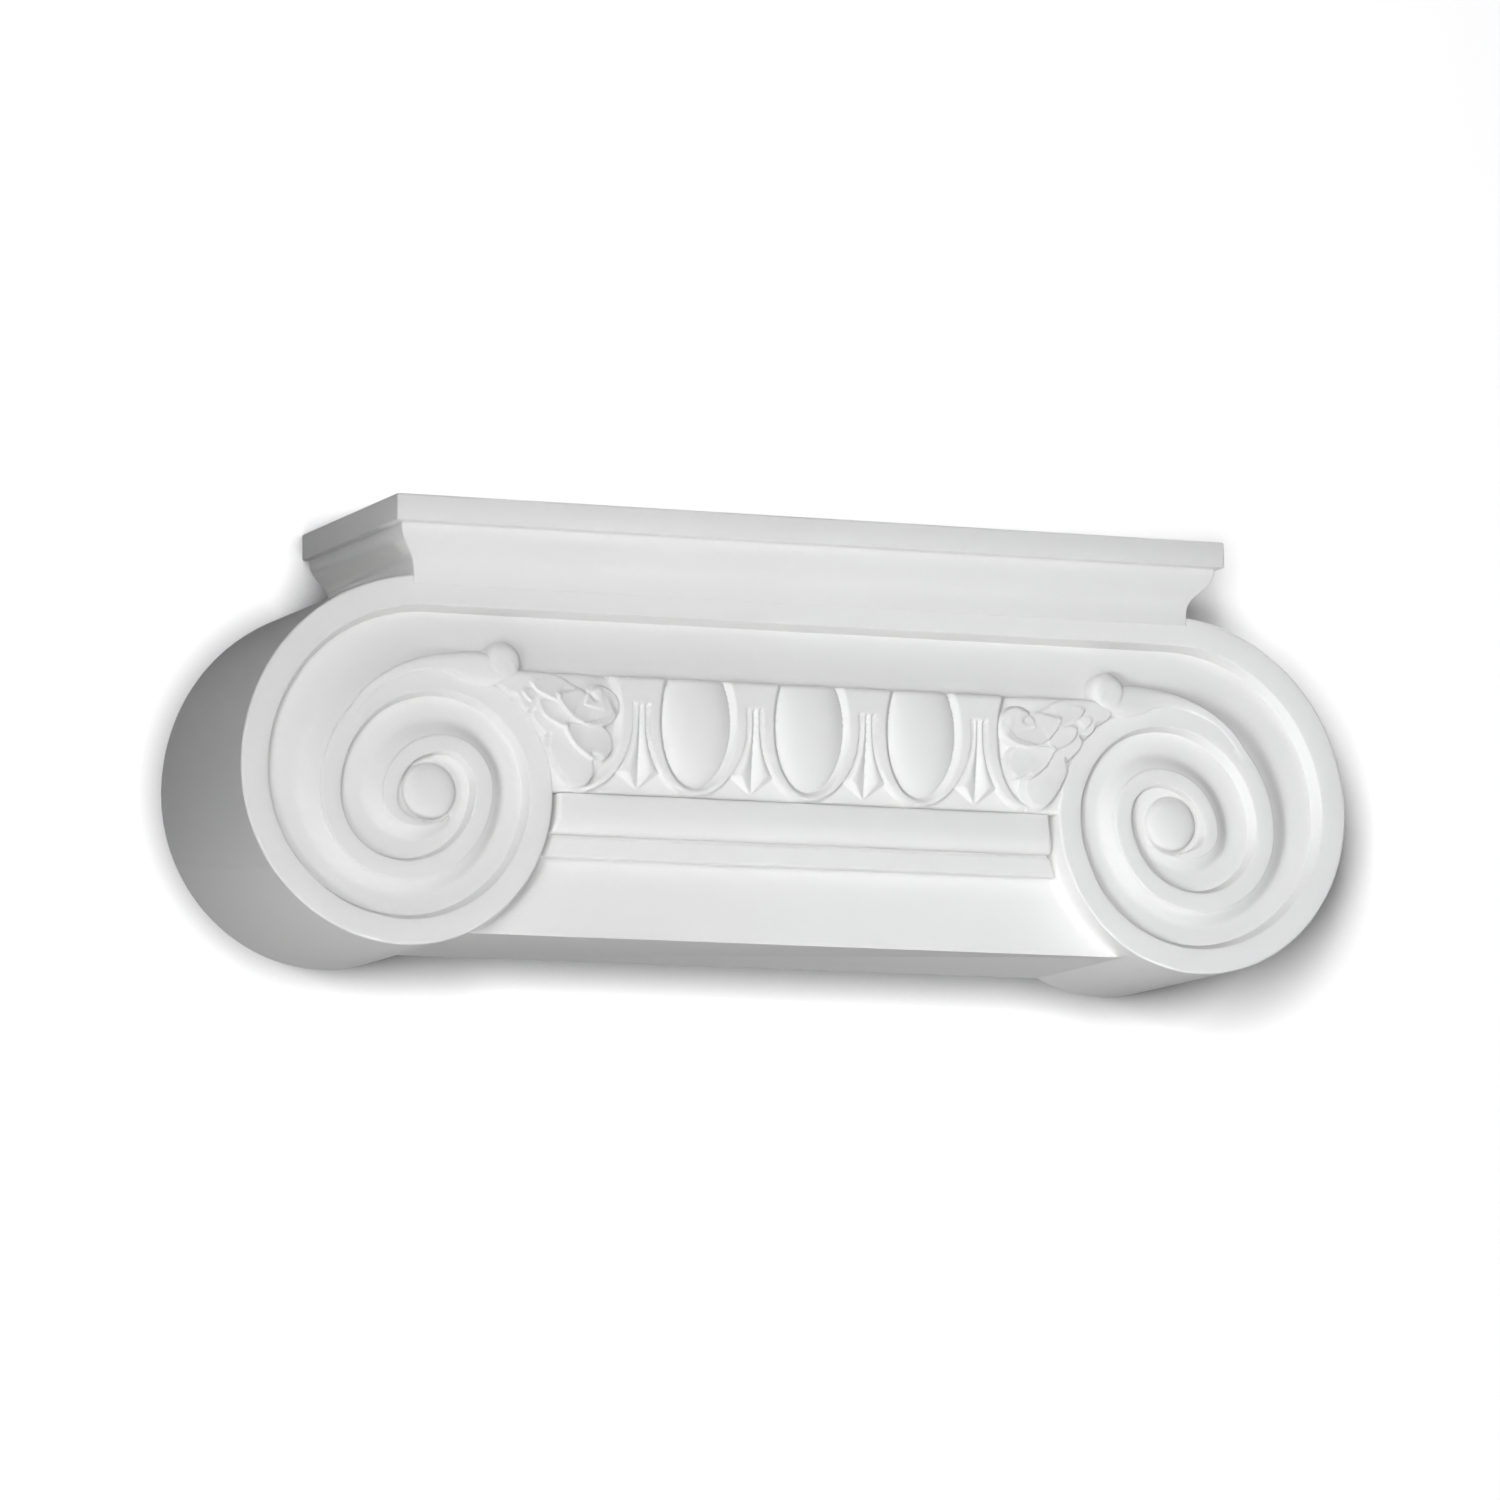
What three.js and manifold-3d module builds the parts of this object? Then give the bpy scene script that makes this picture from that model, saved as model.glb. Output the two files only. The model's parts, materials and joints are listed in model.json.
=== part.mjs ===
// Ionic pilaster capital, cast in one piece, flat at the back.
// Millimetres. +Z is up, the carved front faces -Y, the right volute is at +X.
// While the shapes are made, z = 0 is the top of the abacus and y = 0 is the flat back.
// The finished solid is moved so that the volutes stand on z = 0 at the middle of the depth.

import * as THREE from "three";
import Module from "manifold-3d";

// Overall sizes
const DEPTH_ABACUS = 92;
const HALF_ABACUS = 153.6;
const DEPTH_FACE = 80.7;
const EYE_X = 137.6;
const EYE_DROP = 97.8;

// Volute, measured from the centre of the eye. Each list holds one crossing per turn.
const TOP_REACH = [72.6, 41.4, 19.1];
const OUTER_REACH = [67.2, 39.4, 17.7];
const BOTTOM_REACH = [52.2, 30.7, 14.4];
const INNER_REACH = [43.7, 22.3, 10.7];
const FIRST_CENTRE_X = -0.2;
const START_ANGLE = 90;
const END_ANGLE = 1080;
const BAND_WIDTH = 10.2;
const BAND_SHRINK = 0.76;
const CHANNEL_DEPTH = 3.6;
const CHANNEL_SHRINK = 0.84;
const STEP_SLOPE = 0.7;
const RING_RADIUS = 10.7;
const RING_DEPTH = 2.6;
const EYE_RADIUS = 9.4;
const EYE_EDGE_DEPTH = 1.6;
const EYE_DOME = 1.9;
const TURN_STEP = 11.25;

// Abacus
const FASCIA_HEIGHT = 9;
const FASCIA_STEP = 2.6;
const OGEE_BOTTOM = 25.4;
const OGEE_SIDE_INSET = 9.8;
const OGEE_FRONT_INSET = 10.6;
const OGEE_SHARPNESS = 2.2;
const OGEE_LEAN = 0.7;
const ABACUS_EDGE = 0.7;

// Egg and dart band
const BAND_TOP = 56.2;
const BAND_BOTTOM = 96.2;
const BAND_FRONT = 81;
const BAND_CORE = 20;
const BAND_HALF = 118;
const CUT_FRONT = 90;
const OVOLO_SWELL = 1.6;
const EGG_PITCH = 41.8;
const EGG_WAIST = 71;
const EGG_LOW = 23.6;
const EGG_HIGH = 26.5;
const CAVITY_HALF = 14.4;
const SHELL_HALF = 17.8;
const SHELL_LOW = 24.4;
const CAVITY_DEPTH = 4;
const CAVITY_SLOPE = 1.2;
const EGG_HALF = 12.6;
const EGG_RISE = 0.7;
const DART_TOP = 65.5;
const DART_BARB = 88.3;
const DART_POINT = 94.4;
const DART_RECESS = 3.2;
const DART_CREST = 0.5;
const DART_GROOVE = 2.2;
const DART_EDGE = 2.8;

// Mouldings under the eggs
const ASTRAGAL_TOP = 96.4;
const ASTRAGAL_BOTTOM = 110;
const ASTRAGAL_FRONT = 79.4;
const GROOVE_FRONT = 74;
const FILLET_TOP = 111;
const FILLET_BOTTOM = 117.6;
const FILLET_FRONT = 74.8;
const BLOCK_FRONT = 69.8;
const BLOCK_BOTTOM = 144;
const MOULDING_CORE = 60;
const FILLET_EDGE = 0.5;
const BLOCK_TOP = 50;
const BLOCK_OVERLAP = 4;
const END_GAP = 2.4;
const END_ROUND = 2.2;
const BLOCK_ROUND = 4.1;

// Corner leaves, measured from the centre of the eye, towards the middle and up
const LEAF_BASE = 80.6;
const LEAF_STEP = 1.1;
const PETAL_RISE = 1.5;
const PETAL_EDGE = 1.0;
// Each row is one leaflet: its scales from the lobe back to the stem, every one given as
// [towards the middle, up, half length, half width, tilt].
const LEAFLETS = [
  [[48.6, 11.6, 11.2, 7.8, -48], [39.4, 25.2, 6.2, 4.6, -50], [33, 31.2, 5, 3.6, -45]],
  [[54.6, 20.2, 11.6, 7.4, -22], [43, 29.6, 7.4, 5, -38], [34.6, 35, 5.4, 3.8, -40]],
  [[52.6, 32.4, 15, 7.6, -13], [38, 38, 9, 4.6, -16]],
];
const LOBE_TIPS = [[51.8, 9.8, 6.6], [58.6, 18.6, 6.2], [59.8, 31.2, 7]];
const TIP_RISE = 0.9;
const BUD_SPOT = [24.8, 44, 6.6];
const BUD_RISE = 4;
const BUD_SINK = 0.6;
const STALK_FROM = 426;
const STALK_TO = 522;
const STALK_SWELL = 7.4;
const STALK_RISE = 1.4;
const STALK_INNER = 3.2;
const STALK_ROOT = 16;

// Corners closer together than this are made one.
const MERGE_DISTANCE = 0.02;

const RAD = Math.PI / 180;

const wasm = await Module();
wasm.setup();

// Solid from loose triangles: welds equal points and leaves out triangles without area.
function solid(points, faces) {
  const index = new Map();
  const kept = [];
  const map = points.map((p) => {
    const key = p.map((v) => Math.round(v * 1e4)).join(",");
    if (!index.has(key)) {
      index.set(key, kept.length);
      kept.push(p);
    }
    return index.get(key);
  });
  let tris = faces.map((f) => f.map((i) => map[i]));
  tris = tris.filter((f) => f[0] !== f[1] && f[1] !== f[2] && f[2] !== f[0]);
  let volume = 0;
  for (const [a, b, c] of tris) {
    const p = new THREE.Vector3(...kept[a]);
    const q = new THREE.Vector3(...kept[b]);
    const r = new THREE.Vector3(...kept[c]);
    volume += p.dot(q.cross(r));
  }
  if (volume < 0) {
    tris = tris.map((f) => [f[0], f[2], f[1]]);
  }
  const mesh = new wasm.Mesh({
    numProp: 3,
    vertProperties: new Float32Array(kept.flat()),
    triVerts: new Uint32Array(tris.flat()),
  });
  return new wasm.Manifold(mesh);
}

// Triangles that close a ring of points. The two axes show the ring as a flat outline,
// and the triangles run against those that already use its edges.
function cap(ring, base, axes, used) {
  const outline = ring.map((p) => new THREE.Vector2(p[axes[0]], p[axes[1]]));
  if (Math.abs(THREE.ShapeUtils.area(outline)) < 1e-6) {
    return [];
  }
  const faces = THREE.ShapeUtils.triangulateShape(outline, []);
  const shifted = faces.map((f) => f.map((i) => base + i));
  const same = shifted.some((f) => f.some((a, k) => used.has(`${a}_${f[(k + 1) % 3]}`)));
  return shifted.map((f) => (same ? [f[0], f[2], f[1]] : f));
}

// Solid through a row of closed rings with equal counts.
function loft(rings, axes) {
  const n = rings[0].length;
  const faces = [];
  for (let r = 0; r + 1 < rings.length; r += 1) {
    for (let i = 0; i < n; i += 1) {
      const a = r * n + i;
      const b = r * n + ((i + 1) % n);
      faces.push([a, b, b + n]);
      faces.push([a, b + n, a + n]);
    }
  }
  const used = new Set();
  for (const f of faces) {
    f.forEach((a, k) => used.add(`${a}_${f[(k + 1) % 3]}`));
  }
  const last = rings.length - 1;
  const first = cap(rings[0], 0, axes, used);
  const final = cap(rings[last], last * n, axes, used);
  return solid(rings.flat(), [...faces, ...first, ...final]);
}

// Quarter arcs that carry the spiral through its crossings, each tangent to the next.
function quarterArcs() {
  const arcs = [];
  let radius = OUTER_REACH[0] + FIRST_CENTRE_X;
  let x = FIRST_CENTRE_X;
  let z = TOP_REACH[0] - radius;
  arcs.push({ x, z, radius });
  for (let turn = 0; turn < 3; turn += 1) {
    radius = BOTTOM_REACH[turn] + z;
    x = radius - OUTER_REACH[turn];
    arcs.push({ x, z, radius });
    radius = INNER_REACH[turn] - x;
    z = radius - BOTTOM_REACH[turn];
    arcs.push({ x, z, radius });
    if (turn < 2) {
      radius = TOP_REACH[turn + 1] - z;
      x = INNER_REACH[turn] - radius;
      arcs.push({ x, z, radius });
      radius = OUTER_REACH[turn + 1] + x;
      z = TOP_REACH[turn + 1] - radius;
      arcs.push({ x, z, radius });
    }
  }
  return arcs;
}

const ARCS = quarterArcs();

function smooth(a, b, v) {
  return THREE.MathUtils.smoothstep(v, a, b);
}

// Point of the spiral at an angle, moved inwards by a distance.
function spiral(angle, inset) {
  const turn = Math.floor((angle - START_ANGLE) / 90 + 1e-9);
  const arc = ARCS[Math.min(turn, ARCS.length - 1)];
  const c = Math.cos(angle * RAD);
  const s = Math.sin(angle * RAD);
  const r = arc.radius - inset;
  let x = arc.x + r * c;
  let z = arc.z + r * s;
  const b = smooth(END_ANGLE - 200, END_ANGLE, angle);
  x += (RING_RADIUS * c - x) * b;
  z += (RING_RADIUS * s - z) * b;
  const reach = Math.hypot(x, z);
  if (reach < RING_RADIUS) {
    x = RING_RADIUS * c;
    z = RING_RADIUS * s;
  }
  return [x, z];
}

function turns(angle) {
  return (angle - START_ANGLE) / 360;
}

function bandSink(angle) {
  return RING_DEPTH * smooth(END_ANGLE - 110, END_ANGLE, angle);
}

// Points across the volute at one angle: band, step down, hollow, edge of the next turn.
// Each point is [towards the middle, up, depth behind the face].
function acrossVolute(angle, rise) {
  const outer = spiral(angle, 0);
  const inner = spiral(angle, BAND_WIDTH * BAND_SHRINK ** turns(angle));
  const c = Math.cos(angle * RAD);
  const s = Math.sin(angle * RAD);
  const nextAngle = angle + 360;
  const onRing = nextAngle > END_ANGLE;
  const next = onRing ? [RING_RADIUS * c, RING_RADIUS * s] : spiral(nextAngle, 0);
  const low = onRing ? RING_DEPTH : bandSink(nextAngle);
  const deep = CHANNEL_DEPTH * CHANNEL_SHRINK ** turns(angle);
  const width = Math.hypot(next[0] - inner[0], next[1] - inner[1]);
  const sink = bandSink(angle);
  const row = [[...outer, sink], [...inner, sink]];
  const first = Math.min(0.5, STEP_SLOPE / Math.max(width, 0.01));
  for (const share of [0, 0.5, 0.82]) {
    const t = first + (1 - first) * share;
    const bowl = 1 - rise * (1 - (1 - share ** 3) ** 0.6);
    const x = inner[0] + (next[0] - inner[0]) * t;
    const z = inner[1] + (next[1] - inner[1]) * t;
    const depth = width < 0.05 ? RING_DEPTH : low + (deep - low) * bowl;
    row.push([x, z, depth]);
  }
  row.push([...next, low + (deep - low) * (1 - rise)]);
  return row;
}

function place(side, p) {
  return [side * (EYE_X - p[0]), -DEPTH_FACE + p[2], p[1] - EYE_DROP];
}

// Both volutes with the hollow band between them, down to the flat back.
function scroll() {
  const columns = [];
  const loop = [];
  const count = Math.round((END_ANGLE - START_ANGLE) / TURN_STEP);
  for (let i = count; i >= 0; i -= 1) {
    columns.push(acrossVolute(START_ANGLE + i * TURN_STEP, 1).map((p) => place(-1, p)));
  }
  for (const x of [-112, -100, 100, 112]) {
    const rise = Math.abs(x) > 105 ? 0.75 : 0.15;
    const row = acrossVolute(START_ANGLE, rise).map((p) => place(1, p));
    columns.push(row.map((p) => [x, p[1], p[2]]));
  }
  for (let i = 0; i <= count; i += 1) {
    columns.push(acrossVolute(START_ANGLE + i * TURN_STEP, 1).map((p) => place(1, p)));
  }
  const rows = columns[0].length;
  const points = columns.flat();
  const faces = [];
  for (let c = 0; c + 1 < columns.length; c += 1) {
    for (let r = 0; r + 1 < rows; r += 1) {
      const a = c * rows + r;
      const b = a + rows;
      faces.push([a, b, b + 1]);
      faces.push([a, b + 1, a + 1]);
    }
  }
  const oneTurn = Math.round(360 / TURN_STEP);
  for (let c = count - oneTurn; c < columns.length - count + oneTurn; c += 1) {
    loop.push(points[c * rows]);
  }
  for (let c = columns.length - count - 2; c > count; c -= 1) {
    loop.push(points[c * rows + rows - 1]);
  }
  const back = loop.map((p) => [p[0], 0, p[2]]);
  const base = points.length;
  points.push(...loop, ...back);
  const n = loop.length;
  for (let i = 0; i < n; i += 1) {
    const a = base + i;
    const b = base + ((i + 1) % n);
    faces.push([b, a, a + n]);
    faces.push([b, a + n, b + n]);
  }
  const used = new Set();
  for (const f of faces) {
    f.forEach((a, k) => used.add(`${a}_${f[(k + 1) % 3]}`));
  }
  faces.push(...cap(back, base + n, [0, 2], used));
  for (const side of [-1, 1]) {
    eye(side, points, faces);
  }
  return solid(points, faces);
}

// Ring groove and domed eye that close the middle of a volute.
function eye(side, points, faces) {
  const steps = Math.round(360 / TURN_STEP);
  const rings = [
    [RING_RADIUS, RING_DEPTH],
    [EYE_RADIUS + 0.3, RING_DEPTH],
    [EYE_RADIUS, EYE_EDGE_DEPTH],
    [EYE_RADIUS * 0.6, EYE_EDGE_DEPTH - EYE_DOME * 0.7],
    [0, EYE_EDGE_DEPTH - EYE_DOME],
  ];
  const base = points.length;
  for (const [radius, depth] of rings) {
    for (let i = 0; i < steps; i += 1) {
      const a = i * TURN_STEP * RAD;
      points.push(place(side, [radius * Math.cos(a), radius * Math.sin(a), depth]));
    }
  }
  for (let r = 0; r + 1 < rings.length; r += 1) {
    for (let i = 0; i < steps; i += 1) {
      const a = base + r * steps + i;
      const b = base + r * steps + ((i + 1) % steps);
      const quad = [[a, b, b + steps], [a, b + steps, a + steps]];
      faces.push(...(side < 0 ? quad.map((f) => [f[0], f[2], f[1]]) : quad));
    }
  }
}

// Solid outline of the two volutes, used to trim what lies between them.
function trimmer() {
  const outline = [];
  for (let a = START_ANGLE; a <= START_ANGLE + 360; a += TURN_STEP) {
    outline.push(spiral(a, 0));
  }
  outline.push([FIRST_CENTRE_X, TOP_REACH[1] - 1]);
  const parts = [-1, 1].map((side) => {
    const ring = (depth) => outline.map((p) => place(side, [p[0], p[1], depth]));
    return loft([ring(-12), ring(25)], [0, 2]);
  });
  return parts[0].add(parts[1]);
}

// Share of the way in under the fascia, for a share of the way down the ogee.
function ogee(t) {
  const down = t ** OGEE_SHARPNESS;
  return down / (down + OGEE_LEAN * (1 - t) ** OGEE_SHARPNESS);
}

function abacus() {
  const profile = [
    [ABACUS_EDGE, 0],
    [0, ABACUS_EDGE],
    [0, FASCIA_HEIGHT - ABACUS_EDGE * 0.5],
    [ABACUS_EDGE * 0.5, FASCIA_HEIGHT],
    [FASCIA_STEP, FASCIA_HEIGHT + 0.3],
  ];
  const high = OGEE_BOTTOM - FASCIA_HEIGHT - 0.3;
  const wide = OGEE_SIDE_INSET - FASCIA_STEP;
  for (let i = 1; i <= 10; i += 1) {
    const t = i / 10;
    profile.push([FASCIA_STEP + wide * ogee(t), FASCIA_HEIGHT + 0.3 + high * t]);
  }
  profile.push([OGEE_SIDE_INSET, OGEE_BOTTOM + 3]);
  const front = OGEE_FRONT_INSET / OGEE_SIDE_INSET;
  const rings = profile.map(([inset, drop]) => {
    const x = HALF_ABACUS - inset;
    const y = -(DEPTH_ABACUS - inset * front);
    return [[-x, 0, -drop], [-x, y, -drop], [x, y, -drop], [x, 0, -drop]];
  });
  return loft(rings, [0, 1]);
}

// Front of the egg and dart band at a height: a low ovolo.
function ovolo(drop) {
  const t = (drop - BAND_TOP) / (BAND_BOTTOM - BAND_TOP);
  return BAND_FRONT + OVOLO_SWELL * Math.sin(Math.PI * (0.2 + 0.8 * t));
}

// Half outline of an egg shape, from the top round under the low end and up again.
function eggOutline(half, low, steps, over) {
  const ring = [];
  const high = EGG_HIGH * (half / CAVITY_HALF);
  const top = Math.asin(Math.min(1, (EGG_WAIST - BAND_TOP + over) / high));
  for (let i = 0; i <= steps; i += 1) {
    const a = top - (i / steps) * (Math.PI + 2 * top);
    const reach = a > 0 || a < -Math.PI ? high : low;
    ring.push([half * Math.cos(a), -EGG_WAIST + reach * Math.sin(a)]);
  }
  return ring;
}

function eggBand() {
  const levels = [];
  for (let i = 0; i <= 6; i += 1) {
    levels.push(BAND_TOP + (BAND_BOTTOM - BAND_TOP) * (i / 6));
  }
  const profile = (x) => {
    const front = levels.map((d) => [x, -ovolo(d), -d]);
    return [...front, [x, -BAND_CORE, -BAND_BOTTOM], [x, -BAND_CORE, -BAND_TOP]];
  };
  let band = loft([profile(-BAND_HALF), profile(BAND_HALF)], [1, 2]);
  const centres = [-2, -1, 0, 1, 2].map((i) => i * EGG_PITCH);
  for (const x of centres) {
    const wide = eggOutline(CAVITY_HALF, EGG_LOW, 16, 1.5);
    const tight = eggOutline(CAVITY_HALF - CAVITY_SLOPE, EGG_LOW - CAVITY_SLOPE, 16, 1.5);
    const outer = wide.map((p) => [x + p[0], -CUT_FRONT, p[1]]);
    const mouth = wide.map((p) => [x + p[0], -ovolo(-p[1]), p[1]]);
    const floor = tight.map((p) => [x + p[0], -ovolo(-p[1]) + CAVITY_DEPTH, p[1]]);
    band = band.subtract(loft([outer, mouth, floor], [0, 2]));
  }
  for (let i = -1.5; i < 2; i += 1) {
    band = band.subtract(dartRecess(i * EGG_PITCH));
  }
  for (const x of centres.slice(1, 4)) {
    band = band.add(egg(x));
  }
  for (let i = -1.5; i < 2; i += 1) {
    band = band.add(dart(i * EGG_PITCH));
  }
  return band;
}

function egg(x) {
  const low = EGG_LOW - CAVITY_SLOPE - 0.6;
  const outline = eggOutline(EGG_HALF, low, 16, 0);
  const levels = [[1, -BAND_CORE], [1, -CAVITY_DEPTH], [0.94, -2], [0.8, -0.6], [0.55, 0.3]];
  levels.push([0.25, EGG_RISE]);
  const rings = levels.map(([scale, up]) => outline.map((p) => {
    const under = p[1] < -EGG_WAIST;
    const z = under ? -EGG_WAIST + (p[1] + EGG_WAIST) * (0.15 + 0.85 * scale) : p[1];
    return [x + p[0] * scale, -(ovolo(-z) + up), z];
  }));
  return loft(rings, [0, 2]);
}

// Half width between two shells at a height.
function shellGap(drop) {
  const reach = drop < EGG_WAIST ? EGG_HIGH * 1.2 : SHELL_LOW;
  const t = Math.min(1, Math.abs(drop - EGG_WAIST) / reach);
  return EGG_PITCH / 2 - SHELL_HALF * Math.sqrt(Math.max(0, 1 - t * t));
}

function dartRecess(x) {
  const drops = [DART_TOP, 70, 76, 82, 86, 89, 91.5, 93.5, 95];
  const right = drops.map((d) => [shellGap(d), d]);
  const left = drops.map((d) => [-shellGap(d), d]).reverse();
  const ring = [...right, ...left];
  const outer = ring.map((p) => [x + p[0], -CUT_FRONT, -p[1]]);
  const mouth = ring.map((p) => [x + p[0], -ovolo(p[1]), -p[1]]);
  const floor = ring.map((p) => {
    const edge = p[1] <= DART_TOP ? 0.05 : DART_RECESS;
    return [x + p[0] * 0.94, -ovolo(p[1]) + edge, -p[1]];
  });
  return loft([outer, mouth, floor], [0, 2]);
}

// Two ridged lobes that widen to the barbs and end in a point.
function dart(x) {
  const rings = [];
  const drops = [DART_TOP, 69, 75, 81, 85.5, DART_BARB, 91.4, DART_POINT];
  for (const d of drops) {
    const tip = d > DART_BARB ? (DART_POINT - d) / (DART_POINT - DART_BARB) : 1;
    const half = Math.max(0.1, (shellGap(Math.min(d, DART_BARB)) - 0.2) * tip);
    const front = ovolo(d);
    const crest = front - DART_CREST - 1.4 * (1 - tip);
    const edge = front - DART_EDGE;
    const dip = front - DART_GROOVE;
    const back = front - 3 * DART_RECESS;
    rings.push([
      [x - half, -edge, -d],
      [x - half * 0.5, -crest, -d],
      [x, -dip, -d],
      [x + half * 0.5, -crest, -d],
      [x + half, -edge, -d],
      [x + half, -back, -d],
      [x - half, -back, -d],
    ]);
  }
  return loft(rings, [0, 1]);
}

// Wall of the volute at a height, as a distance from the middle of the capital.
function wall(drop) {
  const arc = drop > EYE_DROP - ARCS[3].z ? ARCS[2] : ARCS[3];
  const dz = EYE_DROP - drop - arc.z;
  return EYE_X - (arc.x + Math.sqrt(Math.max(0, arc.radius ** 2 - dz * dz)));
}

// A moulding that ends just short of the volutes with rounded ends.
function moulding(section, gap, round) {
  const rings = [];
  const middle = section.reduce((sum, p) => sum + p[1], 0) / section.length;
  const front = Math.max(...section.map((p) => p[0])) - round * 2;
  for (const side of [-1, 1]) {
    const stops = [[0, 0.2], [0.35, 0.7], [1, 1]];
    const order = side < 0 ? stops : [...stops].reverse();
    for (const [along, size] of order) {
      rings.push(section.map(([depth, drop]) => {
        const x = wall(drop) - gap - round * along;
        const pinch = depth < front ? 0 : 1 - size;
        const height = middle + (drop - middle) * (1 - 0.06 * pinch);
        return [side * x, -(depth - round * pinch), -height];
      }));
    }
  }
  return loft(rings, [1, 2]);
}

function astragal() {
  const section = [[MOULDING_CORE, ASTRAGAL_TOP], [MOULDING_CORE, ASTRAGAL_BOTTOM]];
  const half = (ASTRAGAL_BOTTOM - ASTRAGAL_TOP) / 2;
  const bulge = ASTRAGAL_FRONT - GROOVE_FRONT;
  for (let i = 0; i <= 8; i += 1) {
    const a = (i / 8 - 0.5) * Math.PI;
    const drop = ASTRAGAL_TOP + half - half * Math.sin(a);
    section.push([GROOVE_FRONT + bulge * Math.cos(a) ** 0.8, drop]);
  }
  return moulding(section, END_GAP, END_ROUND);
}

function fillet() {
  const section = [
    [MOULDING_CORE, ASTRAGAL_BOTTOM - 2],
    [MOULDING_CORE, FILLET_BOTTOM],
    [FILLET_FRONT - FILLET_EDGE, FILLET_BOTTOM],
    [FILLET_FRONT, FILLET_BOTTOM - FILLET_EDGE],
    [FILLET_FRONT, FILLET_TOP + FILLET_EDGE],
    [FILLET_FRONT - FILLET_EDGE, FILLET_TOP],
    [GROOVE_FRONT - 0.8, ASTRAGAL_BOTTOM + 0.4],
    [GROOVE_FRONT - 0.8, ASTRAGAL_BOTTOM - 2],
  ];
  return moulding(section, END_GAP, END_ROUND);
}

// Block under the mouldings, rounded where it meets the volutes, flat underneath.
function block() {
  const spiralTop = EYE_DROP - TOP_REACH[1];
  const high = [BLOCK_TOP, spiralTop, spiralTop + 0.4, spiralTop + 1.5, spiralTop + 4, 68];
  const drops = [...high, 80, 96, 104, 112, 118, 124, 129, 134, 139, BLOCK_BOTTOM];
  const layer = (depth, gap) => {
    const right = drops.map((d) => [wall(d) - gap, -depth, -d]);
    const left = drops.map((d) => [-(wall(d) - gap), -depth, -d]).reverse();
    return [...right, ...left];
  };
  const rings = [layer(0, -BLOCK_OVERLAP), layer(BLOCK_FRONT - BLOCK_ROUND - 1, -BLOCK_OVERLAP)];
  for (const a of [0, 30, 60, 90]) {
    const gap = BLOCK_ROUND * (1 - Math.cos(a * RAD));
    rings.push(layer(BLOCK_FRONT - BLOCK_ROUND * (1 - Math.sin(a * RAD)), gap));
  }
  return loft(rings, [0, 2]);
}

// Flattened oval dome with a crisp edge, for the scales, lobes and buds of the leaves.
function dome(side, spot, foot, edge, rise, count) {
  const rings = [];
  const [x, z, long, wide, tilt] = spot;
  const c = Math.cos(tilt * RAD);
  const s = Math.sin(tilt * RAD);
  const levels = [[1, foot], [1, DEPTH_FACE - edge], [0.72, DEPTH_FACE - edge - rise * 0.7]];
  levels.push([0.3, DEPTH_FACE - edge - rise]);
  for (const [scale, depth] of levels) {
    const ring = [];
    for (let i = 0; i < count; i += 1) {
      const b = (i / count) * 2 * Math.PI;
      const u = long * scale * Math.cos(b);
      const v = wide * scale * Math.sin(b);
      ring.push(place(side, [x + u * c - v * s, z + u * s + v * c, depth]));
    }
    rings.push(ring);
  }
  return loft(rings, [0, 2]);
}

function polar(angle, radius) {
  return [radius * Math.cos(angle * RAD), radius * Math.sin(angle * RAD)];
}

// Leaf of three leaflets made of overlapping scales, filling the end of the egg band.
function leaf(side) {
  const outline = [polar(4, 40), polar(20, 40), polar(38, 40), polar(56, 40)];
  outline.push([28, 42.6], [43, 41], [56, 38.4], [60, 32], [58, 20], [52, 8]);
  const ring = (depth) => outline.map((p) => place(side, [p[0], p[1], depth]));
  let made = loft([ring(15), ring(DEPTH_FACE - LEAF_BASE)], [0, 2]);
  LEAFLETS.forEach((scales, row) => {
    [...scales].reverse().forEach((spot, k) => {
      const edge = LEAF_BASE + PETAL_EDGE + LEAF_STEP * row - (k < scales.length - 1 ? 0.3 : 0);
      made = made.add(dome(side, spot, 12, edge, PETAL_RISE, 14));
    });
    const [x, z, radius] = LOBE_TIPS[row];
    const edge = LEAF_BASE + PETAL_EDGE + LEAF_STEP * row;
    made = made.add(dome(side, [x, z, radius, radius, 0], 12, edge, PETAL_RISE + TIP_RISE, 14));
  });
  return made;
}

// Stalk that grows out of the second turn and swells towards the bud.
function stalk(side) {
  const rings = [];
  const steps = 12;
  for (let i = 0; i <= steps; i += 1) {
    const t = i / steps;
    const a = STALK_FROM + (STALK_TO - STALK_FROM) * t;
    const swell = STALK_SWELL * (1 - t) ** 1.6;
    const out = spiral(a, -swell);
    const inn = spiral(a, STALK_INNER * (1 - t * 0.5));
    const mid = spiral(a, (STALK_INNER - swell) * 0.5);
    const up = STALK_RISE * Math.sin(Math.PI * (0.25 + 0.75 * (1 - t))) ** 0.7 * (1 - t * t);
    const spots = [[out, STALK_ROOT], [out, 0.2 - up * 0.3], [mid, -up - 0.05]];
    spots.push([inn, 0.1], [inn, STALK_ROOT]);
    rings.push(spots.map(([p, depth]) => place(side, [p[0], p[1], depth])));
  }
  return loft(rings, [1, 2]);
}

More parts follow.
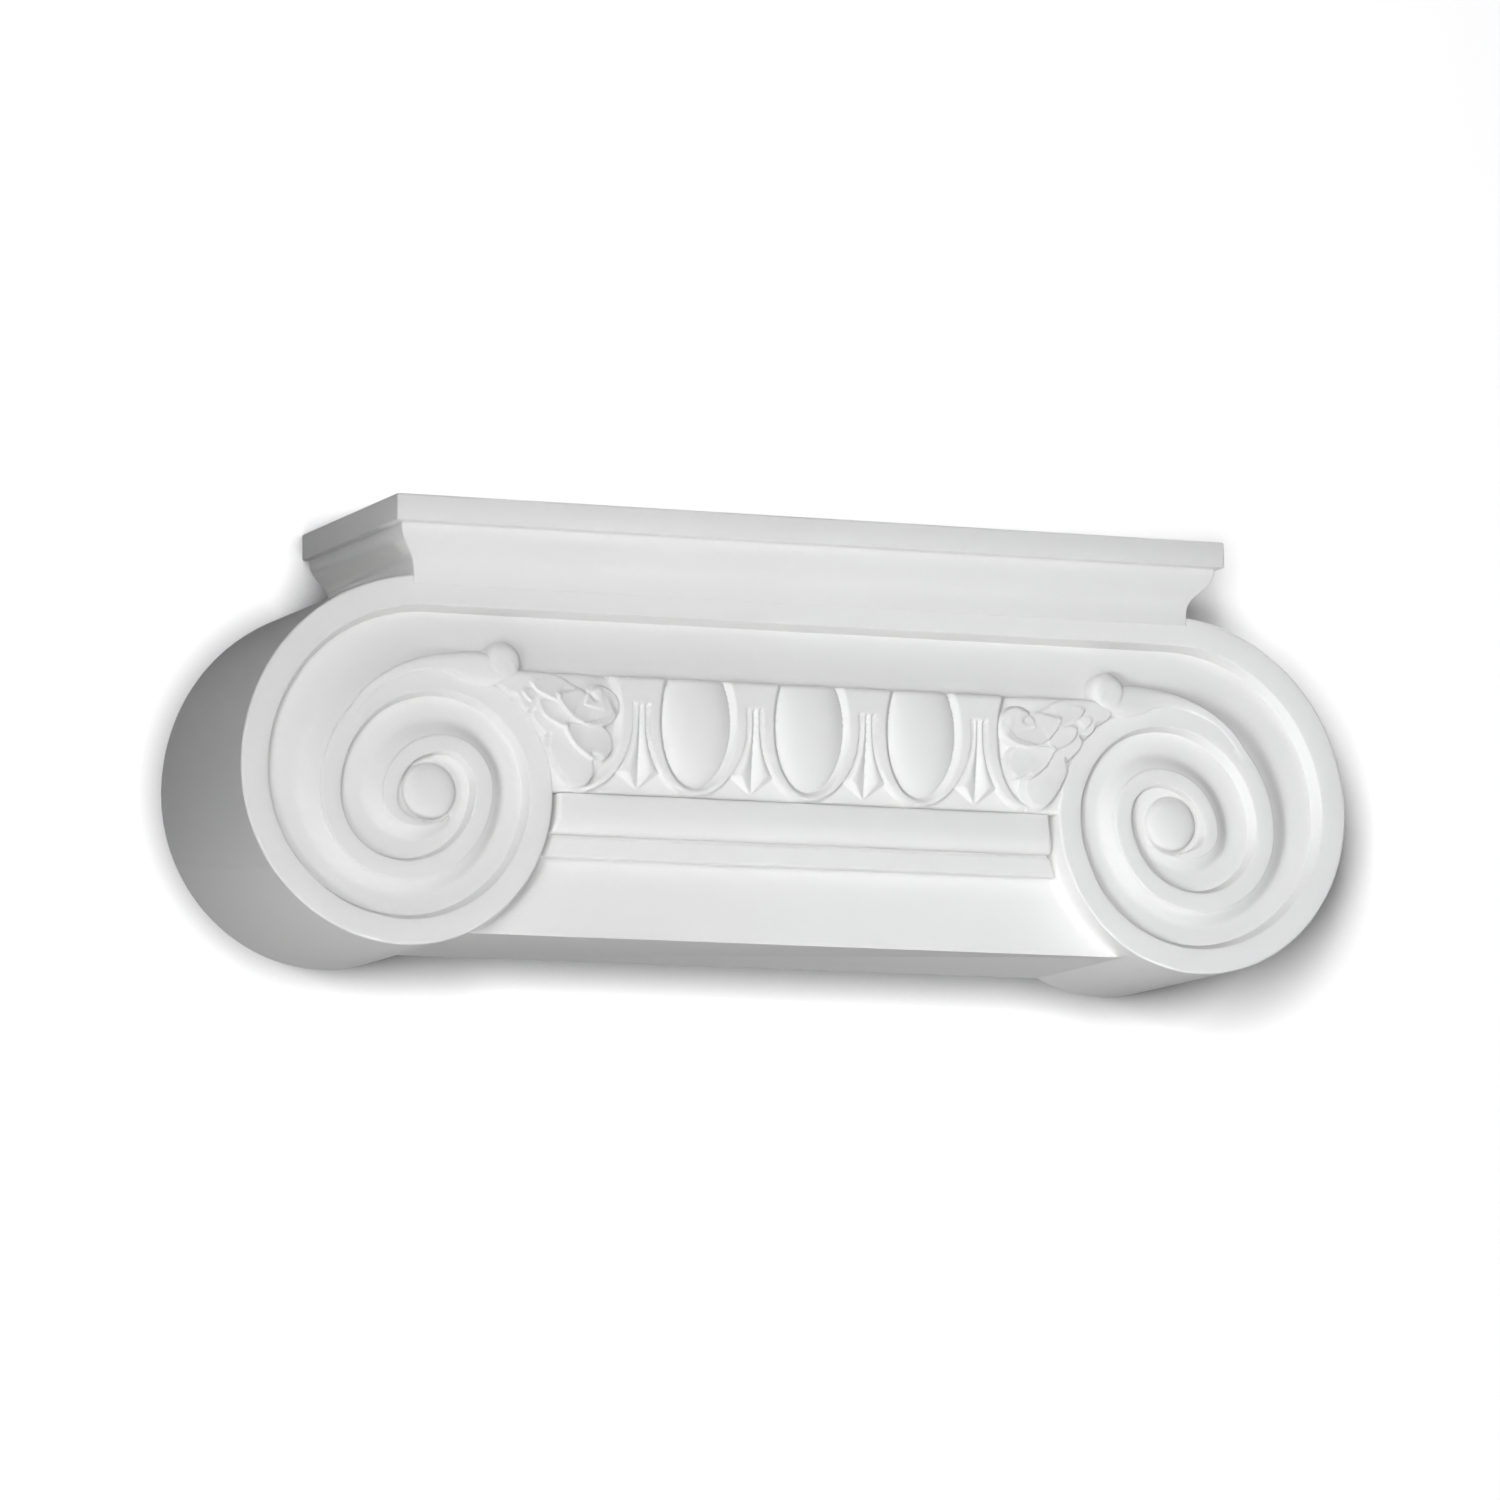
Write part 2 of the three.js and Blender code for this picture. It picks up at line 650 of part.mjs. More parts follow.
function build() {
  const trim = trimmer();
  let whole = scroll();
  whole = whole.add(abacus());
  whole = whole.add(eggBand().subtract(trim));
  whole = whole.add(astragal());
  whole = whole.add(fillet());
  whole = whole.add(block());
  for (const side of [-1, 1]) {
    whole = whole.add(leaf(side).subtract(trim));
    const bud = [BUD_SPOT[0], BUD_SPOT[1], BUD_SPOT[2], BUD_SPOT[2], 0];
    whole = whole.add(dome(side, bud, STALK_ROOT, DEPTH_FACE + BUD_SINK, BUD_RISE, 16));
    whole = whole.add(stalk(side));
  }
  const drop = EYE_DROP + BOTTOM_REACH[0];
  whole = whole.translate([0, DEPTH_ABACUS / 2, drop]);
  whole = whole.asOriginal().simplify(MERGE_DISTANCE);
  const mesh = whole.getMesh();
  const geometry = new THREE.BufferGeometry();
  const count = mesh.vertProperties.length / mesh.numProp;
  const array = new Float32Array(count * 3);
  for (let i = 0; i < count; i += 1) {
    for (let k = 0; k < 3; k += 1) {
      array[i * 3 + k] = mesh.vertProperties[i * mesh.numProp + k];
    }
  }
  geometry.setAttribute("position", new THREE.BufferAttribute(array, 3));
  geometry.setIndex(new THREE.BufferAttribute(new Uint32Array(mesh.triVerts), 1));
  const flat = geometry.toNonIndexed();
  flat.computeVertexNormals();
  const material = new THREE.MeshStandardMaterial({ color: 0xeceae4, roughness: 0.75 });
  material.name = "white_cast";
  const part = new THREE.Mesh(flat, material);
  part.name = "capital";
  const group = new THREE.Group();
  group.name = "ionic_capital";
  group.add(part);
  return group;
}

export default build();
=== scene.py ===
"""White cast ionic pilaster capital: the fine carved surface, its finish and the photo stage.

The carving is worked out in millimetres with z = 0 at the top of the abacus, y = 0 at the flat
back and the front towards -Y, and is moved and turned into metres when it is finished.
"""

import json
import math

import bmesh
import bpy
import numpy as np
from bpy.props import FloatProperty, FloatVectorProperty, IntProperty, PointerProperty
from mathutils import Matrix, Vector

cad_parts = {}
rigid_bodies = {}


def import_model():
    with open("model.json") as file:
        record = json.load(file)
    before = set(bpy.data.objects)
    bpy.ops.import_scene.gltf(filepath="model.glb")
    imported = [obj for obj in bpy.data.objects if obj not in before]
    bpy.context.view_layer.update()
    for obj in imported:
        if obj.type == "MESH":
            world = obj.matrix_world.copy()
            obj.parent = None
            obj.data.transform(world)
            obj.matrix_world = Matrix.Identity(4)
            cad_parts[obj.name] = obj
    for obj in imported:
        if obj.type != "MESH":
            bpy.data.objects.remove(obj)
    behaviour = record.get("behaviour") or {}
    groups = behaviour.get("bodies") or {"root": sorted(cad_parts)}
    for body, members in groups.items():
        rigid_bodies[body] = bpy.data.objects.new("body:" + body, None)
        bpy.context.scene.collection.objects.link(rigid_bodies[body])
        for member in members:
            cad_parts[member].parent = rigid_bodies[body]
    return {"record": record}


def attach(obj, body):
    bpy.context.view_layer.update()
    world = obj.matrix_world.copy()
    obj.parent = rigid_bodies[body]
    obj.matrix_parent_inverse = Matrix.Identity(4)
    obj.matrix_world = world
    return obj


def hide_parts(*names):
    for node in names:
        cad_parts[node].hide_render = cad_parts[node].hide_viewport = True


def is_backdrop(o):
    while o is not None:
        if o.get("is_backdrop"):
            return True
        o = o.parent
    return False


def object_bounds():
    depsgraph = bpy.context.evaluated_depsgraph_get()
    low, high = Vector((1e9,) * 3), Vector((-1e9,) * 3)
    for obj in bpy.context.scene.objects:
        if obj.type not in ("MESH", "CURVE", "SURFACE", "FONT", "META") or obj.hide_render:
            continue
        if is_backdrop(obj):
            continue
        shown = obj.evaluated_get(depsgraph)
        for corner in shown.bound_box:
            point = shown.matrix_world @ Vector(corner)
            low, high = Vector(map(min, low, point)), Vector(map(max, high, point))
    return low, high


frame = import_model()
CAD_BOX = [list(corner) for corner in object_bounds()]
CAST = frame["record"]["materials"][0]["base_color"]

bl_info = {
    "name": "Ionic pilaster capital",
    "version": (1, 0, 0),
    "blender": (4, 5, 0),
    "location": "3D View > Sidebar > Capital",
    "description": "Builds a cast ionic pilaster capital with volutes and an egg and dart band",
    "category": "Object",
}

MM = 0.001
PIECE = "capital_casting"

# Crossings of the volute spiral from the centre of the eye, one for each turn, in millimetres.
TOP_REACH = (72.6, 41.4, 19.1)
OUTER_REACH = (67.2, 39.4, 17.7)
BOTTOM_REACH = (52.2, 30.7, 14.4)
INNER_REACH = (43.7, 22.3, 10.7)
FIRST_CENTRE_X = -0.2
START_ANGLE = 90.0
END_ANGLE = 1080.0
# Degrees before its end where the spiral starts to close in on the ring round the eye, and where
# its relief starts to fade.
CLOSE_IN = 200
FADE_OUT = 110
# How much the rim, the hollow and the rounded outer edge keep of their size from turn to turn.
BAND_SHRINK = 0.76
CHANNEL_SHRINK = 0.9
EDGE_SHRINK = 0.8
STEP_SLOPE = 1.7
EDGE_ROUND = 1.0
STEP_ROUND = 0.5
STEP_ROUND_SHARE = 0.2
# Shares of the way across the flat rim and across the hollow where points are set.
RIM_SHARES = (0.3, 0.65)
FLOOR_SHARES = (0.0, 0.07, 0.16, 0.32, 0.48, 0.58, 0.65, 0.71, 0.77, 0.83, 0.89, 0.95)
# The hollow rises to the next turn between these shares, and dips a little at the foot of the step.
BOWL_START = 0.56
BOWL_END = 1.02
BOWL_POWER = 0.9
FOOT_DIP = 0.14
FOOT_REACH = 0.14
RING_RADIUS = 10.7
RING_DEPTH = 3.6
EYE_RADIUS = 9.4
EYE_EDGE_DEPTH = 2.5
EYE_DOME = 2.7
EYE_POWER = 4
# Groove between the ring and the eye, as (radius, depth), and rings of points over the eye.
EYE_GROOVE = (
    (RING_RADIUS, RING_DEPTH),
    (RING_RADIUS - 0.35, RING_DEPTH + 0.12),
    (EYE_RADIUS + 0.45, RING_DEPTH + 0.1),
    (EYE_RADIUS + 0.15, RING_DEPTH - 0.1),
)
EYE_SHARES = (1.0, 0.985, 0.96, 0.92, 0.86, 0.78, 0.66, 0.5, 0.32, 0.16, 0.0)

# Abacus: roundings, then the small quirk under the fascia as (inset past the step, drop).
ABACUS_EDGE = 0.7
ABACUS_CORNER = 0.6
FASCIA_ROUND = 0.4
FASCIA_STEP = 2.6
FASCIA_QUIRK = ((-0.5, 0.05), (-0.1, 0.2))
OGEE_START = 0.45
OGEE_STEPS = 24
OGEE_POWER = 2.2
OGEE_LEAN = 0.7
OGEE_SIDE_INSET = 9.8
OGEE_FRONT_INSET = 10.6
ABACUS_ROOT = 3

# Heights below the top of the abacus, and distances in front of the flat back.
OGEE_BOTTOM = 25.4
BAND_TOP = 56.2
BAND_BOTTOM = 96.2
BAND_FRONT = 80.2
BAND_BACK = -20.0
OVOLO_SWELL = 3.2
OVOLO_START = 0.35

# Eggs and shells are ovals about the waist: half width, then reach below and above the waist.
EGG_WAIST = 71.0
SHELL_HALF, SHELL_LOW, SHELL_HIGH = 17.8, 24.4, 31.8
HOLLOW_HALF, HOLLOW_LOW, HOLLOW_HIGH = 14.4, 23.6, 26.5
EGG_LOW = HOLLOW_LOW - 1.8
EGG_HIGH = HOLLOW_HIGH * 12.6 / HOLLOW_HALF
EGG_PROUD = 0.7
EGG_POWER = 3
HOLLOW_ROUND = 2.3
# Softens the top of the hollow's wall: a small square, its root, and what is left of the height.
HOLLOW_SOFT = (0.02, 0.1414, 0.8686)

# Darts: two lobes with a valley between them, above a barbed point.
DART_TOP = 65.5
DART_BARB = 88.3
DART_POINT = 94.4
DART_CREST = -0.3
DART_GROUND = 2.7
DART_GROUND_ROUND = 1.1
DART_GAP = 0.15
DART_CLEAR = 0.25
DART_LEAST_HALF = 0.3
DART_TOP_SHARE = 0.74
DART_WIDENING = 0.26
DART_LOBE = 0.52
DART_VALLEY = -1.7
DART_VALLEY_GROWTH = 0.7
DART_INNER_POWER = 1.7
DART_OUTER_POWER = 2.2
DART_BEVEL = 2.3
DART_BEVEL_WIDTH = 2.0
DART_BEVEL_POWER = 0.8
# Heights where the darts fade in, where their valley deepens and where the point takes over.
DART_HEAD = (DART_TOP - 0.6, DART_TOP + 0.8)
DART_DEEPENS = (DART_TOP - 2, DART_BARB - 6)
DART_POINT_START = DART_BARB - 1.5
FAR_BELOW = -9.0
# The outer darts end this many egg pitches from the middle.
DART_REACH = 1.95

# Mouldings below the band.
ASTRAGAL_TOP = 96.4
ASTRAGAL_BOTTOM = 110.0
ASTRAGAL_FRONT = 79.4
GROOVE_FRONT = 74.0
GROOVE_TOP = 78.4
FILLET_TOP = 111.0
FILLET_BOTTOM = 117.6
FILLET_FRONT = 74.8
FILLET_ROUND = 0.5
ASTRAGAL_STEPS = 24
ASTRAGAL_POWER = 0.8
BAR_BACK = 60
END_GAP = 2.4
END_ROUND = 2.2
END_NARROWING = 0.05
# What lies this many roundings behind the front of a bar isn't rounded at its ends.
END_TUCKED = 2.6

# Hollow band between the volutes: how far its lower side rises, and where its columns stand.
CANALIS_RISE = 0.42
CANALIS_END = 96
CANALIS_STATIONS = (*range(-134, -94, 3), -60, -30, 0, 30, 60, *range(95, 135, 3))

# Plain block, and the hollow fillet where its front meets a volute. Its heights: steps below the
# top of the first turn, where the wall starts to turn, and an even run to the bottom.
BLOCK_TOP = 50.0
BLOCK_BOTTOM = 144.0
BLOCK_HEIGHTS = (0, 0.4, 1.5, 4, 8)
BLOCK_TURN = 68
BLOCK_RUN = (71, BLOCK_BOTTOM, 48)
BLOCK_OVERLAP = 4
COVE = 4.5
COVE_ROOT = 3
COVE_LIP = 0.3

# Corner leaf, from the centre of the eye: (towards the middle, up). Lobes: centre and radius,
# then the angles where the edge of each one starts and ends.
LOBES = ((60.3, 31.0, 7.0), (58.5, 18.3, 6.3), (51.4, 9.6, 6.8))
LOBE_SPANS = ((138, -62), (62, -66), (42, -96))
LOBE_SWELL = 0.35
LEAF_TOP = ((26.0, 43.6), (32.3, 43.4), (42.6, 41.2), (50.9, 37.9), (54.4, 36.2))
LEAF_LOW = ((50.0, 2.9), (47.4, 5.0), (43.4, 10.4), (40.9, 16.0), (41.8, 20.6))
LEAF_MID = ((40.4, 20.0), (36.6, 23.1), (34.9, 26.2), (35.9, 28.6))
LEAF_UPPER = ((33.9, 27.9), (30.8, 30.1), (29.6, 33.0), (27.0, 33.6), (23.9, 36.1), (24.2, 40.0))
# Edges of the scales, from the tip of each: its points, its height and how fast it falls away.
CREASES = (
    (((67.5, 26.5), (61.5, 24.0), (55.9, 23.3), (51.9, 24.6), (48.4, 26.7), (45.3, 30.3),
      (43.7, 33.5), (43.3, 36.0)), 1.7, 6.0),
    (((44.6, 31.0), (40.0, 32.9), (36.4, 34.7), (34.5, 37.2), (34.0, 39.2)), 1.1, 3.5),
    (((69.0, 11.2), (62.6, 11.6), (56.5, 12.2), (50.7, 16.1), (47.6, 20.2), (46.2, 23.4),
      (46.3, 25.6)), 1.7, 6.0),
    (((47.6, 21.9), (44.1, 23.5), (40.1, 25.7), (37.8, 28.6), (37.3, 31.2),
      (37.4, 33.0)), 1.1, 3.5),
    (((34.6, 30.6), (32.6, 32.4), (31.5, 34.4), (31.5, 36.2)), 0.9, 2.5),
    (((53.4, 30.6), (54.0, 33.0), (56.0, 35.7), (58.7, 36.9), (61.6, 37.4)), 0.9, 3.5),
)
CREASE_EDGE = 0.7
# Creases and furrows fade in and out along their length, and near where a crease ends.
LINE_FADE = 0.8
CREASE_START = 0.05
CREASE_CLEAR = (0.5, 3.0)
FURROW_START = 0.12
# Narrow furrows: points, depth, half width.
FURROWS = (
    (((47.0, 39.8), (50.9, 37.9), (54.4, 36.0), (57.4, 33.4), (58.4, 31.6)), 0.9, 0.8),
)
LEAF_BASE = 83.2
LEAF_EDGE = 1.0
LEAF_SHELF = 82.4
LEAF_GROUND = 79.6
LEAF_START = 67.5
# Distances from the eye where the ground under a leaf turns into the outer shell, and where the
# shelf above the leaf runs down to that ground.
GROUND_BLEND = (50, 58)
SHELF_BLEND = (53, 64)
SHELF_END = 64
SHELF_SINK = 1.0
BAND_OVERLAP = 0.12
# Roundings at the bottom and the top of the band: (depth, height).
BAND_FOOT = (1.2, 1.2)
BAND_HEAD = (1.5, 1.8)
# Bud at the end of the stalk, and the two edges of the stalk from the bud to its tail.
BUD = (25.2, 44.3, 6.8, 3.7)
STALK_OUTER = ((27.6, 46.2), (25.4, 46.6), (20.7, 46.9), (15.3, 47.6), (8.9, 47.0), (-3.0, 44.9),
               (-14.0, 40.4), (-23.5, 33.4), (-30.0, 24.6))
STALK_INNER = ((30.6, 43.0), (29.3, 39.8), (25.0, 37.2), (18.6, 35.9), (11.2, 37.5), (5.0, 40.2),
               (-6.0, 39.6), (-18.0, 34.2), (-27.4, 24.2))
STALK_RISE = (3.8, 3.7, 3.3, 2.7, 2.1, 1.4, 0.85, 0.45, 0.05)
STALK_ROOT = 16.0
STALK_COUNT = 64
STALK_ACROSS = 17
STALK_TAPER = 0.1
BUD_FOOT = 1.2
BUD_POWER = 5
BUD_COUNT = 72

# Finish: how the primed casting differs from place to place, and the grain of its surface.
SPECULAR = 0.3
PATCH_DARKER = (0.93, 0.93, 0.925)
MOTTLE = 0.35
PATCH_SIZE = 9.0
PATCH_DETAIL = 3
GRAIN_SIZE = 900
GRAIN_DETAIL = 2
GRAIN_STRENGTH = 0.06
GRAIN_DISTANCE = 0.0002
SHARP_ANGLE = 46
LEAST_TRIANGLES, MOST_TRIANGLES = 10000, 200000

# Stage, in metres: half width, floor, top and front edge, and the gap behind the flat back.
STAGE_HALF, STAGE_FLOOR, STAGE_TOP, STAGE_FRONT = 3, -1.2, 2.2, -4.5
WALL_GAP = 0.0001
# Painted contact shadow on the wall: how far it reaches, and how little openness is fully dark.
SHADOW_REACH = 0.019
SHADOW_DEPTH = 0.15
SHADOW_SAMPLES = 12
FLOOR_PALE = 0.8
THROWN_BACK = 0.02
AIR_AS_LIGHT = 0.02
AIR_SEEN = 0.85

# Lamps: name, place, what it points at, width and height, watts, its dimmer, spread in degrees.
MIDDLE = (0.0, -0.02, 0.08)
RIGHT_LEAF = (0.25, -0.02, 0.08)
CASTING_LAMPS = (
    ("key", (-1.665, -3.59, 0.775), MIDDLE, (1.5, 1.5), 71, "key", 180),
    ("low_left", (-2.114, -2.539, -1.1), MIDDLE, (1.0, 1.0), 6, "fill", 180),
    ("low_front", (-0.15, -1.735, -0.723), MIDDLE, (0.6, 0.6), 4, "fill", 180),
    ("below", (-0.1, -0.25, -0.6), MIDDLE, (0.5, 0.5), 2, "fill", 180),
    ("right", (1.4, -0.9, -0.6), MIDDLE, (0.8, 0.8), 0.8, "fill", 180),
    ("feathered", (-2.5, -2.9, -0.85), RIGHT_LEAF, (0.4, 0.4), 0.4, "key", 14),
    ("back", (0, 2.6, 0.1), MIDDLE, (0.6, 0.4), 1.3, "fill", 40),
    ("over_right", (1.3, 0.55, 1.1), MIDDLE, (0.7, 0.7), 24, "fill", 180),
)
STAGE_LAMPS = (
    ("wall_light", (-1.284, -2.573, -0.045), MIDDLE, (0.5, 1.16), 118, "glow", 180),
)
LAMP_TINT = (0.99, 0.99, 1.0)

# Camera: place in metres, turn, tilt and roll in degrees, and its lens in widths of the picture.
CAMERA_PLACE = (-1.0927, -2.521, -0.2986)
CAMERA_TURN, CAMERA_TILT, CAMERA_ROLL = 23.3, 7.77, -0.59
CAMERA_SENSOR = 36
LENS_WIDTHS = 8056 / 1500
CAMERA_CLIP = (0.05, 20)


class CapitalSizes(bpy.types.PropertyGroup):
    """Sizes of the capital."""

    depth: FloatProperty(
        name="Depth", description="From the flat back to the front of the abacus",
        default=0.092, min=0.05, unit="LENGTH")
    half_abacus: FloatProperty(
        name="Half abacus", description="Half the width of the abacus",
        default=0.1536, min=0.05, unit="LENGTH")
    fascia: FloatProperty(
        name="Fascia height", description="Height of the flat top edge of the abacus",
        default=0.009, min=0.002, unit="LENGTH")
    eye_x: FloatProperty(
        name="Eye spacing", description="From the middle of the capital to the centre of each eye",
        default=0.1376, min=0.1, unit="LENGTH")
    eye_drop: FloatProperty(
        name="Eye drop", description="From the top of the abacus down to the centre of the eyes",
        default=0.0978, min=0.05, unit="LENGTH")
    face: FloatProperty(
        name="Volute front", description="From the flat back to the flat rim of the volutes",
        default=0.0807, min=0.04, unit="LENGTH")
    rim: FloatProperty(
        name="Rim width", description="Width of the flat rim where the spiral starts",
        default=0.0102, min=0.002, unit="LENGTH")
    hollow: FloatProperty(
        name="Hollow depth", description="Depth of the hollow between the turns where it starts",
        default=0.0046, min=0.0005, unit="LENGTH")
    block_front: FloatProperty(
        name="Block front", description="From the flat back to the front of the lower block",
        default=0.0698, min=0.03, unit="LENGTH")
    egg_pitch: FloatProperty(
        name="Egg pitch", description="Distance between the middles of two eggs",
        default=0.0418, min=0.02, unit="LENGTH")
    egg_half: FloatProperty(
        name="Egg half width", description="Half the width of an egg",
        default=0.0126, min=0.004, unit="LENGTH")
    cavity_depth: FloatProperty(
        name="Egg hollow depth", description="Depth of the hollow that each egg sits in",
        default=0.003, min=0.0005, unit="LENGTH")
    steps: IntProperty(
        name="Steps in a turn", description="Facets in one full turn of the spiral",
        default=144, min=48, max=288)
    grain: FloatProperty(
        name="Carving grid", description="Spacing of the grid that carries the carved band",
        default=0.00043, min=0.0003, unit="LENGTH")


class CapitalFinish(bpy.types.PropertyGroup):
    """Finish of the casting and the stage."""

    cast: FloatVectorProperty(
        name="Cast white", description="Colour of the primed casting", subtype="COLOR", size=3,
        min=0, max=1, default=CAST)
    wall: FloatProperty(
        name="Wall", description="How pale the wall is",
        default=0.95, min=0, max=1, subtype="FACTOR")
    roughness: FloatProperty(
        name="Roughness", description="Roughness of the primed casting",
        default=0.62, min=0, max=1, subtype="FACTOR")
    mottle: FloatProperty(
        name="Mottle", description="How much the white varies from place to place",
        default=MOTTLE, min=0, max=1, subtype="FACTOR")
    key: FloatProperty(
        name="Main light", description="Strength of the lamps in front, at the left",
        default=1.0, min=0)
    fill: FloatProperty(
        name="Fill light", description="Strength of the lamps below, at the right and behind",
        default=1.0, min=0)
    glow: FloatProperty(
        name="Wall light", description="Strength of the light on the wall and floor alone",
        default=1.0, min=0)


# Small maths helpers


def smooth(a, b, v):
    """Soft step from 0 at a to 1 at b."""
    t = np.clip((v - a) / (b - a), 0.0, 1.0)
    return t * t * (3 - 2 * t)


def rounded(t):
    """Quarter round from 0 to 1: steep at first, then flat."""
    t = np.clip(t, 0.0, 1.0)
    return np.sqrt(1 - (1 - t) ** 2)


def curve(points, count):
    """Catmull-Rom curve through the points, evenly spread over count samples."""
    p = np.array(points, float)
    p = np.vstack([2 * p[0] - p[1], p, 2 * p[-1] - p[-2]])
    spans = len(p) - 3
    t = np.linspace(0, spans, count)
    i = np.minimum(t.astype(int), spans - 1)
    f = (t - i)[:, None]
    a, b, c, d = p[i], p[i + 1], p[i + 2], p[i + 3]
    return 0.5 * (2 * b + (c - a) * f + (2 * a - 5 * b + 4 * c - d) * f**2
                  + (3 * b - 3 * c + d - a) * f**3)


def near_line(x, z, line):
    """Distance to a line, on which side of it (positive to its right) and how far along, 0 to 1."""
    best = np.full(x.shape, 1e9)
    side, along = np.zeros(x.shape), np.zeros(x.shape)
    spans = len(line) - 1
    for k in range(spans):
        ax, az = line[k]
        dx, dz = line[k + 1] - line[k]
        size = dx * dx + dz * dz
        t = np.clip(((x - ax) * dx + (z - az) * dz) / size, 0.0, 1.0)
        ex, ez = x - ax - t * dx, z - az - t * dz
        dist = np.hypot(ex, ez)
        cross = ex * dz - ez * dx
        closer = dist < best
        best = np.where(closer, dist, best)
        side = np.where(closer, np.sign(cross), side)
        along = np.where(closer, (k + t) / spans, along)
    return best, side, along


def quarter(steps):
    """Sine and cosine at even steps through a quarter turn, both ends included."""
    angles = [math.radians(90 * i / steps) for i in range(steps + 1)]
    return [(math.sin(a), math.cos(a)) for a in angles]


def inside(x, z, ring):
    """Which points lie inside a closed ring."""
    found = np.zeros(x.shape, bool)
    for (ax, az), (bx, bz) in zip(ring, np.roll(ring, -1, axis=0)):
        if az == bz:
            continue
        hit = (az > z) != (bz > z)
        found ^= hit & (x < (bx - ax) * (z - az) / (bz - az) + ax)
    return found


# Mesh helpers


def grid_faces(rows, cols, base=0, closed=False):
    """Quads between points laid out row by row; closed joins the last column to the first."""
    r, c = np.meshgrid(np.arange(rows - 1), np.arange(cols if closed else cols - 1), indexing="ij")
    a = base + r * cols + c
    b = base + r * cols + (c + 1) % cols
    return np.stack([a, b, b + cols, a + cols], -1).reshape(-1, 4).tolist()


def solid(name, points, faces):
    """Makes a closed mesh in millimetres with its faces turned outwards."""
    mesh = bpy.data.meshes.new(name)
    mesh.from_pydata(np.asarray(points, float).tolist(), [], faces)
    bm = bmesh.new()
    bm.from_mesh(mesh)
    bmesh.ops.remove_doubles(bm, verts=bm.verts, dist=0.002)
    bmesh.ops.dissolve_degenerate(bm, edges=bm.edges, dist=0.0005)
    bmesh.ops.triangulate(bm, faces=bm.faces)
    loose = [v for v in bm.verts if not v.link_faces]
    bmesh.ops.delete(bm, geom=loose, context="VERTS")
    bmesh.ops.recalc_face_normals(bm, faces=bm.faces)
    if bm.calc_volume(signed=True) < 0:
        bmesh.ops.reverse_faces(bm, faces=bm.faces)
    bad = sum(len(e.link_faces) != 2 for e in bm.edges)
    bm.to_mesh(mesh)
    bm.free()
    if bad:
        raise RuntimeError(f"{name} isn't closed: {bad} open edges")
    bpy.context.scene.collection.objects.link(bpy.data.objects.new(name, mesh))


def loft(name, rings):
    """Solid through rings with equal counts, with flat ends."""
    rows, cols = len(rings), len(rings[0])
    faces = grid_faces(rows, cols, closed=True)
    faces += [list(range(cols)), list(range((rows - 1) * cols, rows * cols))]
    solid(name, np.concatenate(rings), faces)


def relief_block(name, top, back):
    """Solid under a grid of surface points (rows, cols, 3), down to the depth of the back."""
    rows, cols = top.shape[:2]
    under = top.copy()
    under[..., 1] = back
    points = np.concatenate([top.reshape(-1, 3), under.reshape(-1, 3)])
    faces = grid_faces(rows, cols)
    rim = list(range(cols))
    rim += [r * cols + cols - 1 for r in range(1, rows)]
    rim += [(rows - 1) * cols + c for c in range(cols - 2, -1, -1)]
    rim += [r * cols for r in range(rows - 2, 0, -1)]
    low = rows * cols
    faces += [[a, b, b + low, a + low] for a, b in zip(rim, rim[1:] + rim[:1])]
    faces.append([a + low for a in rim])
    solid(name, points, faces)


def fuse(target, others):
    """Unites the closed meshes into the target."""
    for other in others:
        step = target.modifiers.new("fuse", "BOOLEAN")
        step.operation = "UNION"
        step.solver = "MANIFOLD"
        step.object = other
        graph = bpy.context.evaluated_depsgraph_get()
        made = bpy.data.meshes.new_from_object(target.evaluated_get(graph))
        old = target.data
        target.modifiers.clear()
        target.data = made
        bpy.data.meshes.remove(old)
        bpy.data.objects.remove(other, do_unlink=True)


# The spiral


def quarter_arcs():
    """Quarter circles that carry the spiral through its crossings: centre x, centre z, radius."""
    arcs, x, z, last = [], FIRST_CENTRE_X, 0.0, 0.0
    for top, outer, bottom, inner in zip(TOP_REACH, OUTER_REACH, BOTTOM_REACH, INNER_REACH):
        if arcs:
            radius = top - z
            x = last - radius
            arcs.append((x, z, radius))
        radius = outer + x
        z = top - radius
        arcs.append((x, z, radius))
        radius = bottom + z
        x = radius - outer
        arcs.append((x, z, radius))
        radius = inner - x
        z = radius - bottom
        arcs.append((x, z, radius))
        last = inner
    return arcs


ARCS = quarter_arcs()


def spiral(angle, inset):
    """Point of the spiral at an angle, moved inwards, and whether it is held on the eye ring."""
    turn = math.floor((angle - START_ANGLE) / 90 + 1e-9)
    x, z, radius = ARCS[min(turn, len(ARCS) - 1)]
    c, s = math.cos(math.radians(angle)), math.sin(math.radians(angle))
    x += (radius - inset) * c
    z += (radius - inset) * s
    blend = float(smooth(END_ANGLE - CLOSE_IN, END_ANGLE, angle))
    x += (RING_RADIUS * c - x) * blend
    z += (RING_RADIUS * s - z) * blend
    if math.hypot(x, z) < RING_RADIUS:
        return RING_RADIUS * c, RING_RADIUS * s, True
    return x, z, False


def turns(angle):
    """How many turns of the spiral lie behind an angle."""
    return (angle - START_ANGLE) / 360


def ease(angle):
    """1 along the spiral and 0 where it runs out at the eye."""
    return 1 - float(smooth(END_ANGLE - FADE_OUT, END_ANGLE, angle))


